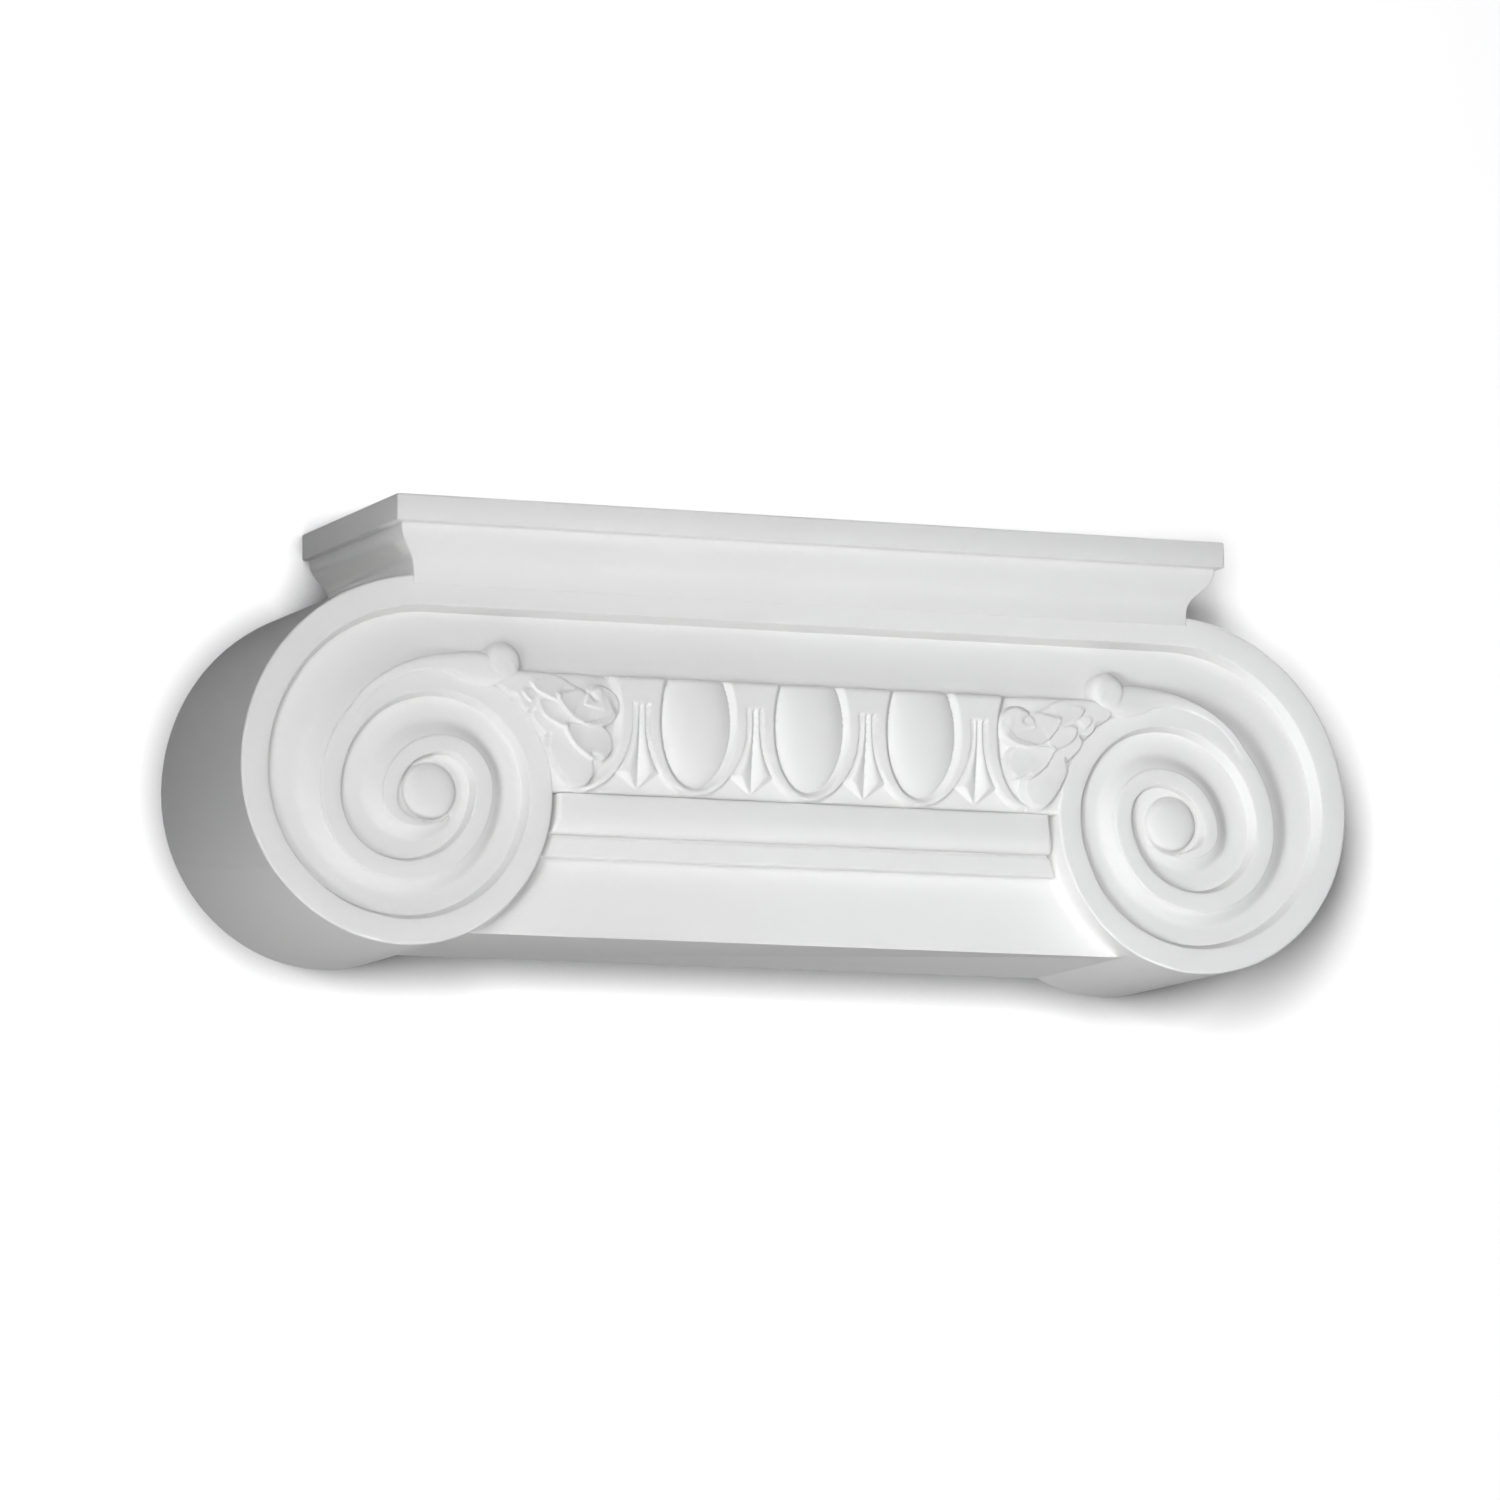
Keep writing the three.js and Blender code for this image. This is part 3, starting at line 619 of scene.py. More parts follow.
def rim_edge(angle):
    """Outer edge of the rim at an angle: towards the middle, up, depth behind the face."""
    c, s = math.cos(math.radians(angle)), math.sin(math.radians(angle))
    if angle > END_ANGLE:
        return RING_RADIUS * c, RING_RADIUS * s, RING_DEPTH
    x, z, held = spiral(angle, 0)
    keep = ease(angle)
    depth = RING_DEPTH * (1 - keep) + EDGE_ROUND * EDGE_SHRINK ** turns(angle) * keep
    return x, z, RING_DEPTH if held else depth


def across_volute(angle, rise, sizes):
    """Points across one turn: rounded edge, flat rim, step, hollow, edge of the next turn.

    Each point is (towards the middle, up, depth behind the face)."""
    turn = turns(angle)
    keep = ease(angle)
    sink = RING_DEPTH * (1 - keep)
    edge = EDGE_ROUND * EDGE_SHRINK ** turn * keep
    width = sizes.rim / MM * BAND_SHRINK ** turn
    corner = min(STEP_ROUND * keep, width * STEP_ROUND_SHARE)
    row = []

    def add(inset, depth):
        x, z, held = spiral(angle, inset)
        row.append((x, z, RING_DEPTH if held else depth))

    for s, c in quarter(5):
        add(edge * (1 - c), sink + edge * (1 - s))
    for share in RIM_SHARES:
        add(edge + (width - corner - edge) * share, sink)
    for s, c in quarter(3):
        add(width - corner + corner * s, sink + corner * (1 - c))
    x, z, _ = row[-1]
    end_x, end_z, low = rim_edge(angle + 360)
    deep = sizes.hollow / MM * CHANNEL_SHRINK ** turn
    gap = math.hypot(end_x - x, end_z - z)
    first = min(0.5, STEP_SLOPE * CHANNEL_SHRINK ** (2 * turn) / max(gap, 0.01))
    for share in FLOOR_SHARES:
        t = first + (1 - first) * share
        bowl = 1 - rise * smooth(BOWL_START, BOWL_END, share) ** BOWL_POWER
        foot = FOOT_DIP * math.exp(-((share / FOOT_REACH) ** 2))
        depth = RING_DEPTH if gap < 0.05 else low + (deep - low) * (bowl + foot)
        row.append((x + (end_x - x) * t, z + (end_z - z) * t, depth))
    row.append((end_x, end_z, low + (deep - low) * (1 - rise)))
    return row


def place(side, p, sizes):
    """From eye coordinates to the capital: side is -1 for the left volute and 1 for the right."""
    return (side * (sizes.eye_x / MM - p[0]), -sizes.face / MM + p[2], p[1] - sizes.eye_drop / MM)


def make_scroll(sizes):
    """Both volutes and the hollow band between them, as one closed mesh to the flat back."""
    step = 360.0 / sizes.steps
    count = round((END_ANGLE - START_ANGLE) / step)
    rows = [across_volute(START_ANGLE + i * step, 1, sizes) for i in range(count + 1)]
    columns = [[place(-1, p, sizes) for p in row] for row in reversed(rows)]
    for x in CANALIS_STATIONS:
        share = float(smooth(CANALIS_END, sizes.eye_x / MM, abs(x)))
        row = across_volute(START_ANGLE, CANALIS_RISE + (1 - CANALIS_RISE) * share, sizes)
        columns.append([(x, *place(1, p, sizes)[1:]) for p in row])
    columns += [[place(1, p, sizes) for p in row] for row in rows]
    total, across = len(columns), len(columns[0])
    points = [p for column in columns for p in column]
    faces = grid_faces(total, across)
    # Walls back to the flat back, all round the outline
    first = count - sizes.steps
    loop = [columns[c][0] for c in range(first, total - first)]
    loop += [columns[c][-1] for c in range(total - count - 2, count, -1)]
    base, around = len(points), len(loop)
    points += loop + [(x, 0.0, z) for x, _, z in loop]
    faces += grid_faces(2, around, base, closed=True)
    faces.append([base + around + i for i in range(around)])
    # Eyes, in the middle of the spirals
    profile = list(EYE_GROOVE)
    for share in EYE_SHARES:
        dome = EYE_DOME * (1 - share**EYE_POWER) ** 0.5
        profile.append((EYE_RADIUS * share, EYE_EDGE_DEPTH - dome))
    for side in (-1, 1):
        base = len(points)
        for radius, depth in profile:
            for i in range(sizes.steps):
                a = math.radians(START_ANGLE + i * step)
                spot = (radius * math.cos(a), radius * math.sin(a), depth)
                points.append(place(side, spot, sizes))
        faces += grid_faces(len(profile), sizes.steps, base, closed=True)
    solid("scroll", points, faces)


# The abacus


def ogee(t):
    """Share of the way in, for a share of the way down."""
    return t**OGEE_POWER / (t**OGEE_POWER + OGEE_LEAN * (1 - t) ** OGEE_POWER)


def make_abacus(sizes):
    """The abacus from its top down, each ring running round its three free sides."""
    fascia = sizes.fascia / MM
    profile = [(ABACUS_EDGE * (1 - s), ABACUS_EDGE * (1 - c)) for s, c in quarter(4)]
    for s, c in quarter(3):
        profile.append((FASCIA_ROUND * (1 - c), fascia - FASCIA_ROUND + FASCIA_ROUND * s))
    profile += [(FASCIA_STEP + inset, fascia + drop) for inset, drop in FASCIA_QUIRK]
    top = fascia + OGEE_START
    for i in range(OGEE_STEPS + 1):
        t = i / OGEE_STEPS
        inset = FASCIA_STEP + (OGEE_SIDE_INSET - FASCIA_STEP) * ogee(t)
        profile.append((inset, top + (OGEE_BOTTOM - top) * t))
    profile.append((OGEE_SIDE_INSET, OGEE_BOTTOM + ABACUS_ROOT))
    front = OGEE_FRONT_INSET / OGEE_SIDE_INSET
    rings = []
    for inset, drop in profile:
        x = sizes.half_abacus / MM - inset
        y = -(sizes.depth / MM - inset * front)
        half = [(x, 0)]
        half += [(x - ABACUS_CORNER * (1 - c), y + ABACUS_CORNER * (1 - s)) for s, c in quarter(3)]
        ring = half + [(-px, py) for px, py in reversed(half)]
        rings.append([(px, py, -drop) for px, py in ring])
    loft("abacus", rings)


# Egg and dart band with the corner leaves


def ovolo(drop):
    """How far the band stands forward at a height, before it is carved."""
    t = (drop - BAND_TOP) / (BAND_BOTTOM - BAND_TOP)
    return BAND_FRONT + OVOLO_SWELL * np.sin(np.pi * (OVOLO_START + (1 - OVOLO_START) * t))


def oval(u, drop, half, low, high):
    """Size of the oval through a point (1 on its edge) and rough distance outside the edge."""
    v = drop - EGG_WAIST
    reach = np.where(v > 0, low, high)
    rho = np.sqrt((u / half) ** 2 + (v / reach) ** 2) + 1e-9
    slope = np.sqrt((u / half**2) ** 2 + (v / reach**2) ** 2) / rho + 1e-9
    return rho, (rho - 1) / slope


def shell_gap(drop, pitch):
    """Half width of the gap between two neighbouring shells."""
    reach = np.where(drop < EGG_WAIST, SHELL_HIGH, SHELL_LOW)
    t = np.clip(np.abs(drop - EGG_WAIST) / reach, 0, 1)
    return pitch / 2 - SHELL_HALF * np.sqrt(1 - t * t)


def darts(x, drop, out, pitch):
    """Height of the darts and the sunk ground round them; out is the distance from a shell."""
    v = np.abs(x - (np.floor(x / pitch) + 0.5) * pitch)
    low = smooth(*DART_HEAD, drop)
    ground = -DART_GROUND * rounded(out / DART_GROUND_ROUND) * low
    half = np.maximum(shell_gap(drop, pitch) - DART_GAP, DART_LEAST_HALF)
    half *= DART_TOP_SHARE + DART_WIDENING * smooth(DART_TOP, DART_BARB, drop)
    s = v / half
    valley = DART_VALLEY - DART_VALLEY_GROWTH * smooth(*DART_DEEPENS, drop)
    dip = np.clip(1 - s / DART_LOBE, 0, 1) ** DART_INNER_POWER
    fall = np.clip((s - DART_LOBE) / (1 - DART_LOBE), 0, 1) ** DART_OUTER_POWER
    inner = DART_CREST + (valley - DART_CREST) * dip
    outer = DART_CREST - (DART_GROUND + DART_CREST) * fall
    lobes = np.where(s < DART_LOBE, inner, outer)
    barb = shell_gap(DART_BARB, pitch)
    tall = DART_POINT - DART_BARB
    tip = (DART_POINT - drop - v * tall / barb) * barb / math.hypot(tall, barb)
    bevel = np.clip(tip / DART_BEVEL_WIDTH, 0, 1) ** DART_BEVEL_POWER
    point = np.where(tip > 0, np.minimum(lobes, -DART_GROUND + DART_BEVEL * bevel), -DART_GROUND)
    dart = np.where(drop < DART_POINT_START, lobes, point) * low
    return np.maximum(ground, np.where(out > DART_CLEAR, dart, FAR_BELOW))


def egg_and_dart(x, drop, sizes):
    """Height of the carving in front of or behind the ovolo."""
    pitch = sizes.egg_pitch / MM
    deep = sizes.cavity_depth / MM
    number = np.clip(np.round(x / pitch), -2, 2)
    u = x - number * pitch
    _, out = oval(u, drop, SHELL_HALF, SHELL_LOW, SHELL_HIGH)
    between = (out > 0) & (np.abs(x) < DART_REACH * pitch)
    rise = np.where(between, darts(x, drop, out, pitch), 0.0)
    # Shells with a rounded inner edge, their hollows and the eggs
    _, cut = oval(u, drop, HOLLOW_HALF, HOLLOW_LOW, HOLLOW_HIGH)
    square, root, left = HOLLOW_SOFT
    wall = np.clip(-cut / HOLLOW_ROUND, 0, 1)
    wall = -deep * (np.sqrt(wall**2 + square) - root) / left
    rho, _ = oval(u, drop, sizes.egg_half / MM, EGG_LOW, EGG_HIGH)
    swell = 1 - np.sqrt(np.clip(1 - rho**EGG_POWER, 0, 1))
    dome = EGG_PROUD - (EGG_PROUD + deep) * swell
    egg = np.where((rho < 1) & (np.abs(number) < 1.5), dome, -deep)
    return np.where(cut < 0, np.maximum(wall, egg), rise)


def leaf_outline():
    """Closed outline of the corner leaf in eye coordinates, lobes first."""
    ring = [curve(LEAF_TOP, 24)]
    for (x, z, r), (a, b) in zip(LOBES, LOBE_SPANS):
        t = np.radians(np.linspace(a, b, 30))
        ring.append(np.stack([x + r * np.cos(t), z + r * np.sin(t)], 1))
    ring += [curve(LEAF_LOW, 30), curve(LEAF_MID, 20), curve(LEAF_UPPER, 30)]
    return np.concatenate(ring)


def leaf_height(u, z):
    """How far the corner leaf stands forward, how far up its edge, and where the leaf is."""
    ring = leaf_outline()
    dist, _, _ = near_line(u, z, np.vstack([ring, ring[:1]]))
    within = inside(u, z, ring)
    height = np.full(u.shape, LEAF_BASE)
    for points, rise, length in CREASES:
        line = curve(points, 48)
        d, side, along = near_line(u, z, line)
        d *= side
        fade = smooth(1.0, LINE_FADE, along) * smooth(0.0, CREASE_START, along)
        fade *= smooth(*CREASE_CLEAR, np.hypot(u - line[-1, 0], z - line[-1, 1]))
        up = smooth(0.0, CREASE_EDGE, d) * np.exp(-np.maximum(d - CREASE_EDGE, 0) / length)
        height += rise * up * fade
    for points, depth, half in FURROWS:
        d, _, along = near_line(u, z, curve(points, 30))
        fade = smooth(1.0, LINE_FADE, along) * smooth(0.0, FURROW_START, along)
        height -= depth * np.exp(-((d / half) ** 2)) * fade
    for x, zc, r in LOBES:
        rho = np.hypot(u - x, z - zc) / r
        height += LOBE_SWELL * np.clip(1 - rho**2, 0, 1) ** 2
    return height, rounded(dist / LEAF_EDGE), within


def volute_wall(drop, sizes):
    """Distance from the middle of the capital to the side of the volute at a height."""
    split = sizes.eye_drop / MM - ARCS[3][1]
    out = []
    for d in drop:
        x, z, radius = ARCS[2] if d > split else ARCS[3]
        dz = sizes.eye_drop / MM - d - z
        out.append(sizes.eye_x / MM - (x + math.sqrt(max(0.0, radius**2 - dz * dz))))
    return np.array(out)


def make_band(sizes):
    """The egg and dart band with the corner leaves, on a fine grid."""
    grain = sizes.grain / MM
    rows = round((BAND_BOTTOM - BAND_TOP) / grain) + 1
    drops = np.linspace(BAND_TOP, BAND_BOTTOM, rows)
    ends = volute_wall(drops, sizes) + BAND_OVERLAP
    cols = round(2 * ends.mean() / grain) + 1
    x = ends[:, None] * np.linspace(-1, 1, cols)
    drop = np.repeat(drops[:, None], cols, 1)
    front = ovolo(drop) + egg_and_dart(x, drop, sizes)
    # Corner leaves and the ground round them
    near = np.abs(x) > LEAF_START
    u = (sizes.eye_x / MM - np.abs(x))[near]
    z = (sizes.eye_drop / MM - drop)[near]
    height, edge, within = leaf_height(u, z)
    leaf_top = np.array(LEAF_TOP)
    ledge = np.interp(u, leaf_top[:, 0], leaf_top[:, 1]) - SHELF_SINK
    shell = smooth(*GROUND_BLEND, u)
    low = np.minimum(front[near], LEAF_GROUND) * (1 - shell) + front[near] * shell
    upper = LEAF_SHELF + (low - LEAF_SHELF) * smooth(*SHELF_BLEND, u)
    low = np.where((u < SHELF_END) & (z > ledge), upper, low)
    front[near] = np.where(within, np.maximum(low + (height - low) * edge, low), low)
    front -= BAND_FOOT[0] * (1 - rounded((BAND_BOTTOM - drop) / BAND_FOOT[1]))
    front -= BAND_HEAD[0] * (1 - rounded((drop - BAND_TOP) / BAND_HEAD[1]))
    relief_block("band", np.stack([x, -front, -drop], -1), BAND_BACK)


# Mouldings and block


def make_moulding(name, section, sizes):
    """A bar between the volutes with rounded ends; section is (front, drop) points, ring closed."""
    fronts, drops = np.array(section).T
    tucked = fronts < fronts.max() - END_ROUND * END_TUCKED
    middle = drops.mean()
    ends = volute_wall(drops, sizes) - END_GAP
    stops = quarter(6)
    rings = []
    for side, order in ((-1, stops), (1, stops[::-1])):
        for s, c in order:
            x = ends - END_ROUND * (1 - c)
            depth = np.where(tucked, fronts, fronts - END_ROUND * (1 - s))
            drop = middle + (drops - middle) * np.where(tucked, 1.0, 1 - END_NARROWING * (1 - s))
            rings.append(np.stack([side * x, -depth, -drop], 1))
    loft(name, rings)


def make_astragal(sizes):
    """Half-round bar, with a deeper groove above it than below."""
    section = [(BAR_BACK, ASTRAGAL_TOP), (BAR_BACK, ASTRAGAL_BOTTOM)]
    half = (ASTRAGAL_BOTTOM - ASTRAGAL_TOP) / 2
    for i in range(ASTRAGAL_STEPS + 1):
        a = (i / ASTRAGAL_STEPS - 0.5) * math.pi
        groove = GROOVE_FRONT if a < 0 else GROOVE_TOP
        bulge = (ASTRAGAL_FRONT - groove) * math.cos(a) ** ASTRAGAL_POWER
        section.append((groove + bulge, ASTRAGAL_TOP + half - half * math.sin(a)))
    make_moulding("astragal", section, sizes)


def make_fillet(sizes):
    """Flat bar with rounded edges under the astragal."""
    r = FILLET_ROUND
    section = [(BAR_BACK, ASTRAGAL_BOTTOM - 2), (BAR_BACK, FILLET_BOTTOM)]
    section += [(FILLET_FRONT - r + r * s, FILLET_BOTTOM - r + r * c) for s, c in quarter(3)]
    section += [(FILLET_FRONT - r + r * c, FILLET_TOP + r - r * s) for s, c in quarter(3)]
    section += [(GROOVE_FRONT - 0.6, FILLET_TOP - 0.2), (GROOVE_FRONT - 0.8, ASTRAGAL_BOTTOM - 2)]
    make_moulding("fillet", section, sizes)


def block_walls(sizes):
    """Heights down the block and where the side of the volute is at each."""
    top = sizes.eye_drop / MM - TOP_REACH[1]
    high = [BLOCK_TOP, *(top + step for step in BLOCK_HEIGHTS), BLOCK_TURN]
    drops = np.concatenate([high, np.linspace(*BLOCK_RUN)])
    return drops, volute_wall(drops, sizes)


def make_block(sizes):
    """Plain block up to the volutes."""
    drops, wall = block_walls(sizes)
    rings = []
    for depth in (0, sizes.block_front / MM):
        right = np.stack([wall + BLOCK_OVERLAP, np.full(len(drops), -depth), -drops], 1)
        rings.append(np.vstack([right, right[::-1] * (-1, 1, 1)]))
    loft("block", rings)


def make_cove(side, sizes):
    """Hollow fillet where the front of the block meets the side of a volute."""
    drops, wall = block_walls(sizes)
    front = sizes.block_front / MM
    section = [(COVE, front - COVE_ROOT), (-BLOCK_OVERLAP, front - COVE_ROOT),
               (-BLOCK_OVERLAP, front + COVE), (-COVE_LIP, front + COVE)]
    section += [(COVE * (1 - c), front + COVE * (1 - s)) for s, c in quarter(10)[1:]]
    rings = []
    for x, drop in zip(wall, drops):
        rings.append([(side * (x - gap), -depth, -drop) for gap, depth in section])
    loft(f"cove_{side}", rings)


# Bud and stalk


def make_stalk(side, sizes):
    """Rounded stalk that swells from its tail to the bud."""
    outer = curve(STALK_OUTER, STALK_COUNT)
    inner = curve(STALK_INNER, STALK_COUNT)
    rise = curve([(r, 0) for r in STALK_RISE], STALK_COUNT)[:, 0]
    rise *= rounded(np.linspace(0, 1, STALK_COUNT) / STALK_TAPER)
    rings = []
    for a, b, high in zip(outer, inner, rise):
        ring = []
        for i in range(STALK_ACROSS):
            s = -1 + 2 * i / (STALK_ACROSS - 1)
            x, z = b + (a - b) * (0.5 + 0.5 * s)
            ring.append((x, z, -high * (1 - abs(s) ** 4) ** 0.5))
        ring += [(*a, STALK_ROOT), (*b, STALK_ROOT)]
        rings.append([place(side, p, sizes) for p in ring])
    loft(f"stalk_{side}", rings)


def make_bud(side, sizes):
    """Round bud with a full, flat dome."""
    x, z, radius, rise = BUD
    levels = [(1.0, STALK_ROOT), (1.0, BUD_FOOT)]
    for _, share in quarter(10)[:-1]:
        levels.append((share, BUD_FOOT - (rise + BUD_FOOT) * (1 - share**BUD_POWER) ** 0.5))
    rings = []
    for scale, depth in levels:
        ring = []
        for i in range(BUD_COUNT):
            t = 2 * math.pi * i / BUD_COUNT
            spot = (x + radius * scale * math.cos(t), z + radius * scale * math.sin(t), depth)
            ring.append(place(side, spot, sizes))
        rings.append(ring)
    loft(f"bud_{side}", rings)


# Finish


def value_mottle():
    """Group: slight patchiness and fine grain of a primed casting.

    Shade is above 0 in the darker patches and below 0 in the others."""
    group = bpy.data.node_groups.new("primer_mottle", "ShaderNodeTree")
    for name, default in (("Patch Size", PATCH_SIZE), ("Amount", MOTTLE)):
        socket = group.interface.new_socket(name, in_out="INPUT", socket_type="NodeSocketFloat")
        socket.default_value = default
    for name in ("Shade", "Height"):
        group.interface.new_socket(name, in_out="OUTPUT", socket_type="NodeSocketFloat")
    nodes, links = group.nodes, group.links
    entry = nodes.new("NodeGroupInput")
    leave = nodes.new("NodeGroupOutput")
    where = nodes.new("ShaderNodeTexCoord")
    patch = nodes.new("ShaderNodeTexNoise")
    patch.inputs["Detail"].default_value = PATCH_DETAIL
    links.new(entry.outputs["Patch Size"], patch.inputs["Scale"])
    grain = nodes.new("ShaderNodeTexNoise")
    grain.inputs["Scale"].default_value = GRAIN_SIZE
    grain.inputs["Detail"].default_value = GRAIN_DETAIL
    for noise in (patch, grain):
        links.new(where.outputs["Object"], noise.inputs["Vector"])
    centre = nodes.new("ShaderNodeMath")
    centre.operation = "SUBTRACT"
    centre.inputs[1].default_value = 0.5
    links.new(patch.outputs["Fac"], centre.inputs[0])
    scaled = nodes.new("ShaderNodeMath")
    scaled.operation = "MULTIPLY"
    links.new(centre.outputs[0], scaled.inputs[0])
    links.new(entry.outputs["Amount"], scaled.inputs[1])
    links.new(scaled.outputs[0], leave.inputs["Shade"])
    links.new(grain.outputs["Fac"], leave.inputs["Height"])
    return group


def cast_material(finish):
    """Matt white primer over the casting."""
    mat = bpy.data.materials.new("white_cast")
    mat.use_nodes = True
    nodes, links = mat.node_tree.nodes, mat.node_tree.links
    shader = nodes["Principled BSDF"]
    shader.inputs["Roughness"].default_value = finish.roughness
    shader.inputs["Specular IOR Level"].default_value = SPECULAR
    mottle = nodes.new("ShaderNodeGroup")
    mottle.node_tree = value_mottle()
    mottle.inputs["Amount"].default_value = finish.mottle
    tint = nodes.new("ShaderNodeMix")
    tint.data_type = "RGBA"
    darker = [value * share for value, share in zip(finish.cast, PATCH_DARKER)]
    tint.inputs["A"].default_value = (*finish.cast, 1.0)
    tint.inputs["B"].default_value = (*darker, 1.0)
    links.new(mottle.outputs["Shade"], tint.inputs["Factor"])
    links.new(tint.outputs["Result"], shader.inputs["Base Color"])
    bump = nodes.new("ShaderNodeBump")
    bump.inputs["Strength"].default_value = GRAIN_STRENGTH
    bump.inputs["Distance"].default_value = GRAIN_DISTANCE
    links.new(mottle.outputs["Height"], bump.inputs["Height"])
    links.new(bump.outputs["Normal"], shader.inputs["Normal"])
    return mat


# Operators


class CAPITAL_OT_scroll(bpy.types.Operator):
    """Carve the two volutes and the hollow band between them"""

    bl_idname = "capital.scroll"
    bl_label = "Volutes and hollow band"

    def execute(self, context):
        make_scroll(context.scene.capital_sizes)
        return {"FINISHED"}


class CAPITAL_OT_abacus(bpy.types.Operator):
    """Run the fascia and ogee of the abacus round its three free sides"""

    bl_idname = "capital.abacus"
    bl_label = "Abacus"

    def execute(self, context):
        make_abacus(context.scene.capital_sizes)
        return {"FINISHED"}


class CAPITAL_OT_band(bpy.types.Operator):
    """Carve the eggs, shells, darts and corner leaves"""

    bl_idname = "capital.band"
    bl_label = "Egg and dart band"

    def execute(self, context):
        make_band(context.scene.capital_sizes)
        return {"FINISHED"}


class CAPITAL_OT_mouldings(bpy.types.Operator):
    """Run the astragal, the fillet and the plain block between the volutes"""

    bl_idname = "capital.mouldings"
    bl_label = "Astragal, fillet and block"

    def execute(self, context):
        sizes = context.scene.capital_sizes
        make_astragal(sizes)
        make_fillet(sizes)
        make_block(sizes)
        for side in (-1, 1):
            make_cove(side, sizes)
        return {"FINISHED"}


class CAPITAL_OT_buds(bpy.types.Operator):
    """Lay the stalks along the second turn of the volutes and set the buds on their ends"""

    bl_idname = "capital.buds"
    bl_label = "Stalks and buds"

    def execute(self, context):
        sizes = context.scene.capital_sizes
        for side in (-1, 1):
            make_stalk(side, sizes)
            make_bud(side, sizes)
        return {"FINISHED"}


class CAPITAL_OT_cast(bpy.types.Operator):
    """Fuse the carved parts into one casting, give it its finish and put it in the frame"""

    bl_idname = "capital.cast"
    bl_label = "One casting"

    def execute(self, context):
        target = bpy.data.objects["scroll"]
        names = ("abacus", "block", "cove_-1", "cove_1", "astragal", "fillet", "band",
                 "stalk_-1", "stalk_1", "bud_-1", "bud_1")
        fuse(target, [bpy.data.objects[n] for n in names])
        _, back, top = CAD_BOX[1]
        mesh = target.data
        places = np.empty(len(mesh.vertices) * 3)
        mesh.vertices.foreach_get("co", places)
        places = places.reshape(-1, 3) * MM + (0, back, top)
        mesh.vertices.foreach_set("co", places.ravel())
        mesh.name = target.name = PIECE
        mesh.shade_smooth()
        mesh.set_sharp_from_angle(angle=math.radians(SHARP_ANGLE))
        mesh.materials.clear()
        mesh.materials.append(cast_material(context.scene.capital_finish))
        mesh.update()
        triangles = sum(len(p.vertices) - 2 for p in mesh.polygons)
        if not LEAST_TRIANGLES < triangles < MOST_TRIANGLES:
            raise RuntimeError(f"the casting has {triangles} triangles")
        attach(target, "root")
        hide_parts("capital")
        return {"FINISHED"}


def plane(name, corners, mat):
    """One flat face of the stage."""
    mesh = bpy.data.meshes.new(name)
    mesh.from_pydata(corners, [], [list(range(len(corners)))])
    mesh.materials.append(mat)
    made = bpy.data.objects.new(name, mesh)
    bpy.context.scene.collection.objects.link(made)
    made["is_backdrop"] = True


def shaded_paint(nodes, links, pale):
    """Matt paint that takes light, with a soft contact shadow painted into its colour."""
    # Painted shadow: ambient occlusion darkens the paint's colour close to the casting.
    close = nodes.new("ShaderNodeAmbientOcclusion")
    close.samples = SHADOW_SAMPLES
    close.inputs["Distance"].default_value = SHADOW_REACH
    shade = nodes.new("ShaderNodeMapRange")
    shade.inputs["From Min"].default_value = SHADOW_DEPTH
    shade.inputs["To Max"].default_value = pale
    paint = nodes.new("ShaderNodeBsdfDiffuse")
    links.new(close.outputs["AO"], shade.inputs["Value"])
    links.new(shade.outputs["Result"], paint.inputs["Color"])
    return paint


def even_paint(nodes, links, pale):
    """Paint that looks equally pale all over."""
    paint = nodes.new("ShaderNodeEmission")
    paint.inputs["Strength"].default_value = pale
    return paint


def one_sided(name, paint, pale):
    """Stage material that shows from the front alone and throws hardly any light back."""
    mat = bpy.data.materials.new(name)
    mat.use_nodes = True
    nodes, links = mat.node_tree.nodes, mat.node_tree.links
    nodes.remove(nodes["Principled BSDF"])
    dim = nodes.new("ShaderNodeBsdfDiffuse")
    dim.inputs["Color"].default_value = (THROWN_BACK, THROWN_BACK, THROWN_BACK, 1)
    ray = nodes.new("ShaderNodeLightPath")
    seen = nodes.new("ShaderNodeMixShader")
    links.new(ray.outputs["Is Camera Ray"], seen.inputs[0])
    links.new(dim.outputs[0], seen.inputs[1])
    links.new(paint(nodes, links, pale).outputs[0], seen.inputs[2])
    clear = nodes.new("ShaderNodeBsdfTransparent")
    face = nodes.new("ShaderNodeNewGeometry")
    either = nodes.new("ShaderNodeMath")
    either.operation = "MAXIMUM"
    links.new(face.outputs["Backfacing"], either.inputs[0])
    links.new(ray.outputs["Is Shadow Ray"], either.inputs[1])
    shown = nodes.new("ShaderNodeMixShader")
    links.new(either.outputs[0], shown.inputs[0])
    links.new(seen.outputs[0], shown.inputs[1])
    links.new(clear.outputs[0], shown.inputs[2])
    links.new(shown.outputs[0], nodes["Material Output"].inputs["Surface"])
    return mat


def lamps(group, table, finish, targets):
    """Square soft lamps that light the target objects alone."""
    lit = bpy.data.collections.new(group)
    for target in targets:
        lit.objects.link(bpy.data.objects[target])
    for name, spot, aim, size, watts, dimmer, spread in table:
        data = bpy.data.lights.new(name, "AREA")
        data.shape = "RECTANGLE"
        data.size, data.size_y = size
        data.energy = watts * getattr(finish, dimmer)
        data.color = LAMP_TINT
        data.spread = math.radians(spread)
        made = bpy.data.objects.new(name, data)
        made.location = spot
        made.rotation_euler = (Vector(aim) - Vector(spot)).to_track_quat("-Z", "Y").to_euler()
        bpy.context.scene.collection.objects.link(made)
        made.light_linking.receiver_collection = lit


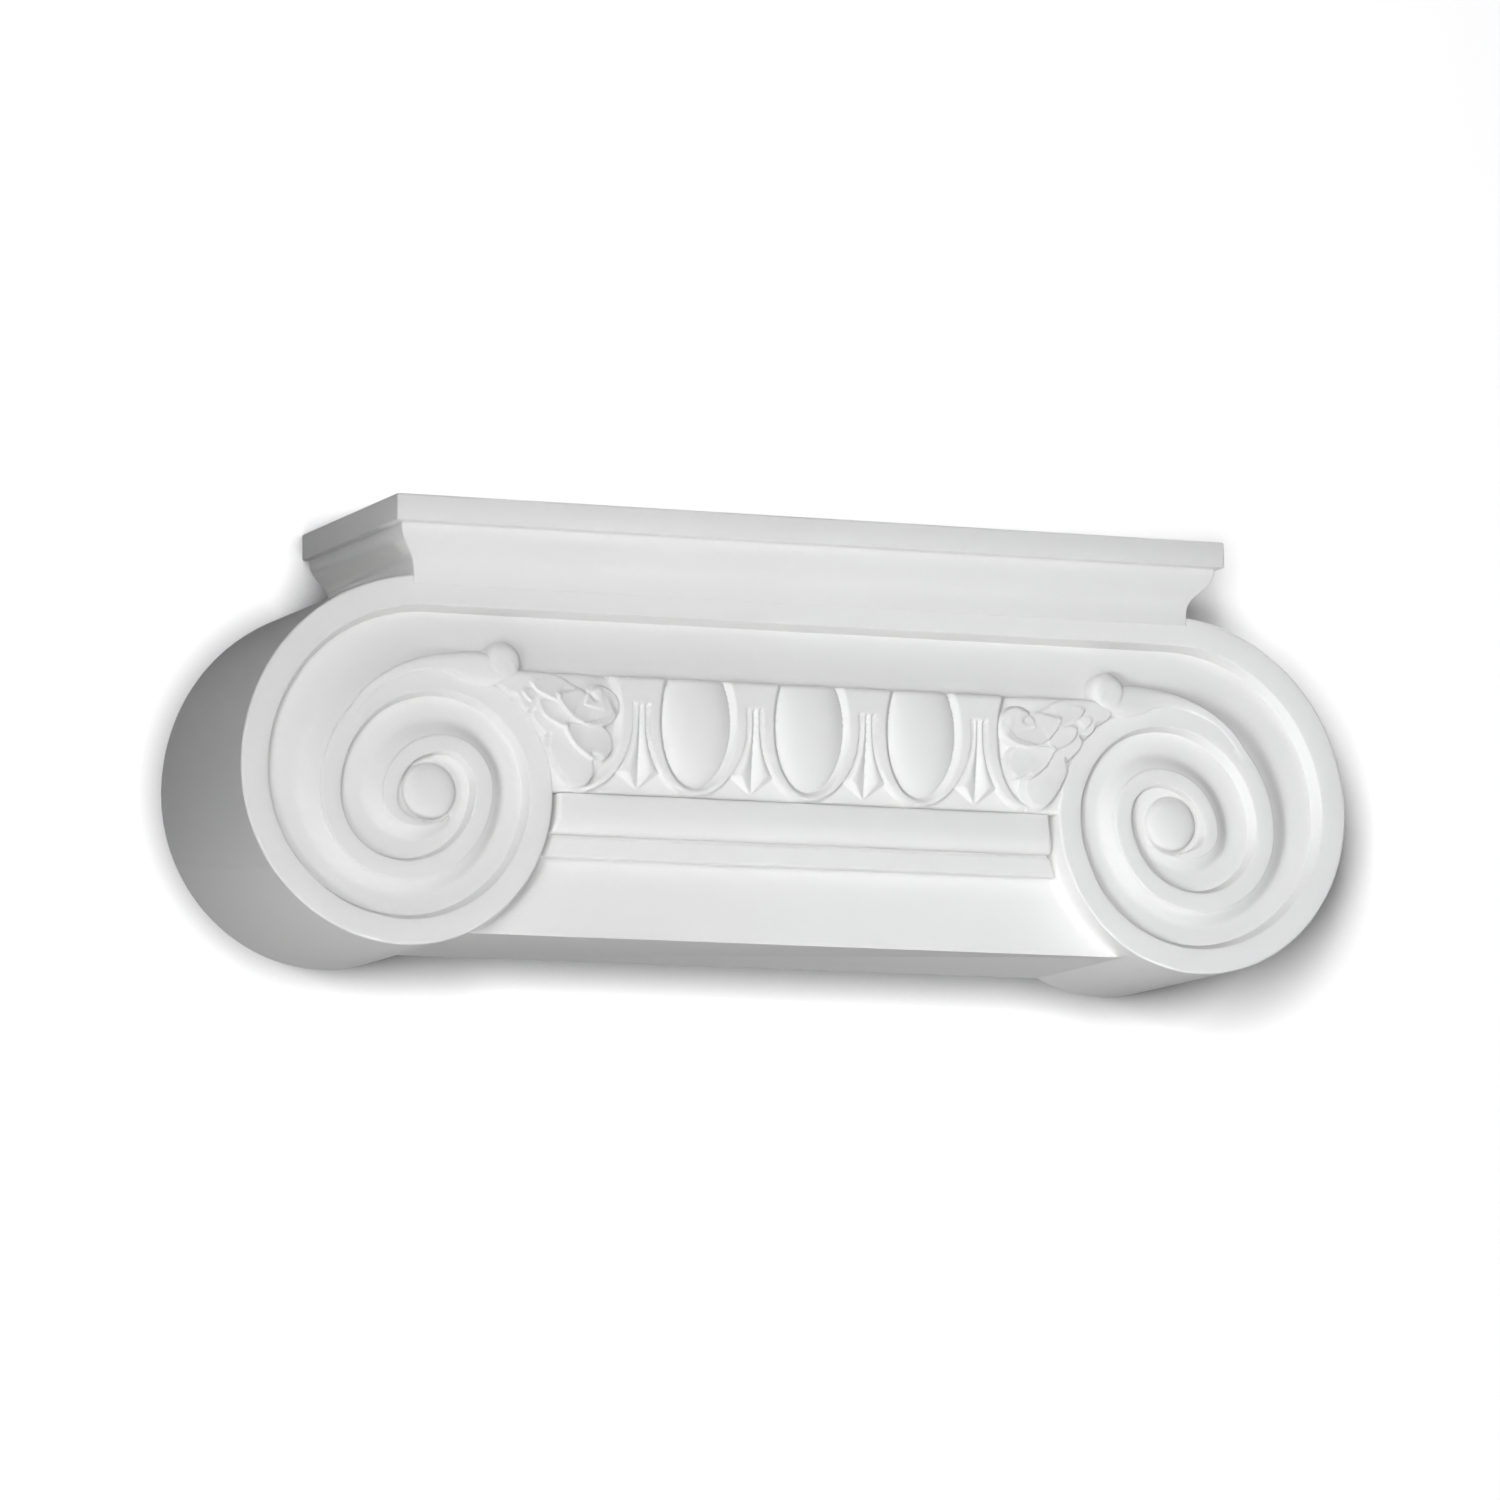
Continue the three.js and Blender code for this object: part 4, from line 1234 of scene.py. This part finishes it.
def photo_camera(scene):
    """Camera at the photograph's angle."""
    view = bpy.data.cameras.new("camera")
    view.sensor_width = CAMERA_SENSOR
    view.lens = LENS_WIDTHS * CAMERA_SENSOR
    view.clip_start, view.clip_end = CAMERA_CLIP
    eye = bpy.data.objects.new("camera", view)
    scene.collection.objects.link(eye)
    yaw, pitch, roll = (math.radians(a) for a in (CAMERA_TURN, CAMERA_TILT, CAMERA_ROLL))
    flat = math.cos(pitch)
    ahead = Vector((math.sin(yaw) * flat, math.cos(yaw) * flat, math.sin(pitch)))
    right = Vector((math.cos(yaw), -math.sin(yaw), 0))
    up = right.cross(ahead)
    across = right * math.cos(roll) + up * math.sin(roll)
    over = up * math.cos(roll) - right * math.sin(roll)
    turn = Matrix((across, over, -ahead)).transposed().to_4x4()
    eye.matrix_world = Matrix.Translation(CAMERA_PLACE) @ turn
    scene.camera = eye


def studio_air(scene):
    """Pale to look at, and almost dark as a light."""
    world = bpy.data.worlds.new("studio")
    world.use_nodes = True
    scene.world = world
    nodes, links = world.node_tree.nodes, world.node_tree.links
    air = nodes["Background"]
    air.inputs["Color"].default_value = (1, 1, 1, 1)
    ray = nodes.new("ShaderNodeLightPath")
    level = nodes.new("ShaderNodeMapRange")
    level.inputs["To Min"].default_value = AIR_AS_LIGHT
    level.inputs["To Max"].default_value = AIR_SEEN
    links.new(ray.outputs["Is Camera Ray"], level.inputs["Value"])
    links.new(level.outputs["Result"], air.inputs["Strength"])


class CAPITAL_OT_stage(bpy.types.Operator):
    """Set up the pale wall and floor, the soft lights and the camera"""

    bl_idname = "capital.stage"
    bl_label = "Stage"

    def execute(self, context):
        scene = context.scene
        finish = scene.capital_finish
        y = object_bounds()[1].y + WALL_GAP
        w, low, high, near = STAGE_HALF, STAGE_FLOOR, STAGE_TOP, STAGE_FRONT
        wall = one_sided("stage_wall", shaded_paint, finish.wall)
        plane("wall", [(-w, y, low), (w, y, low), (w, y, high), (-w, y, high)], wall)
        ground = one_sided("stage_floor", even_paint, FLOOR_PALE)
        plane("floor", [(-w, y, low), (-w, near, low), (w, near, low), (w, y, low)], ground)
        lamps("lit_casting", CASTING_LAMPS, finish, (PIECE,))
        lamps("lit_stage", STAGE_LAMPS, finish, ("wall", "floor"))
        studio_air(scene)
        photo_camera(scene)
        scene.view_settings.view_transform = "Standard"
        return {"FINISHED"}


class CAPITAL_PT_panel(bpy.types.Panel):
    """Steps and sizes of the capital"""

    bl_label = "Ionic capital"
    bl_idname = "CAPITAL_PT_panel"
    bl_space_type = "VIEW_3D"
    bl_region_type = "UI"
    bl_category = "Capital"

    def draw(self, context):
        for step in STEPS:
            self.layout.operator(step.bl_idname)
        for group in (context.scene.capital_sizes, context.scene.capital_finish):
            column = self.layout.column()
            for name in group.__annotations__:
                column.prop(group, name)


STEPS = (
    CAPITAL_OT_scroll,
    CAPITAL_OT_abacus,
    CAPITAL_OT_band,
    CAPITAL_OT_mouldings,
    CAPITAL_OT_buds,
    CAPITAL_OT_cast,
    CAPITAL_OT_stage,
)
CLASSES = (CapitalSizes, CapitalFinish, *STEPS, CAPITAL_PT_panel)


def register():
    for cls in CLASSES:
        bpy.utils.register_class(cls)
    bpy.types.Scene.capital_sizes = PointerProperty(type=CapitalSizes)
    bpy.types.Scene.capital_finish = PointerProperty(type=CapitalFinish)


def unregister():
    del bpy.types.Scene.capital_finish
    del bpy.types.Scene.capital_sizes
    for cls in reversed(CLASSES):
        bpy.utils.unregister_class(cls)


def main():
    register()
    bpy.ops.capital.scroll()
    bpy.ops.capital.abacus()
    bpy.ops.capital.band()
    bpy.ops.capital.mouldings()
    bpy.ops.capital.buds()
    bpy.ops.capital.cast()
    bpy.ops.capital.stage()


if __name__ == "__main__":
    main()
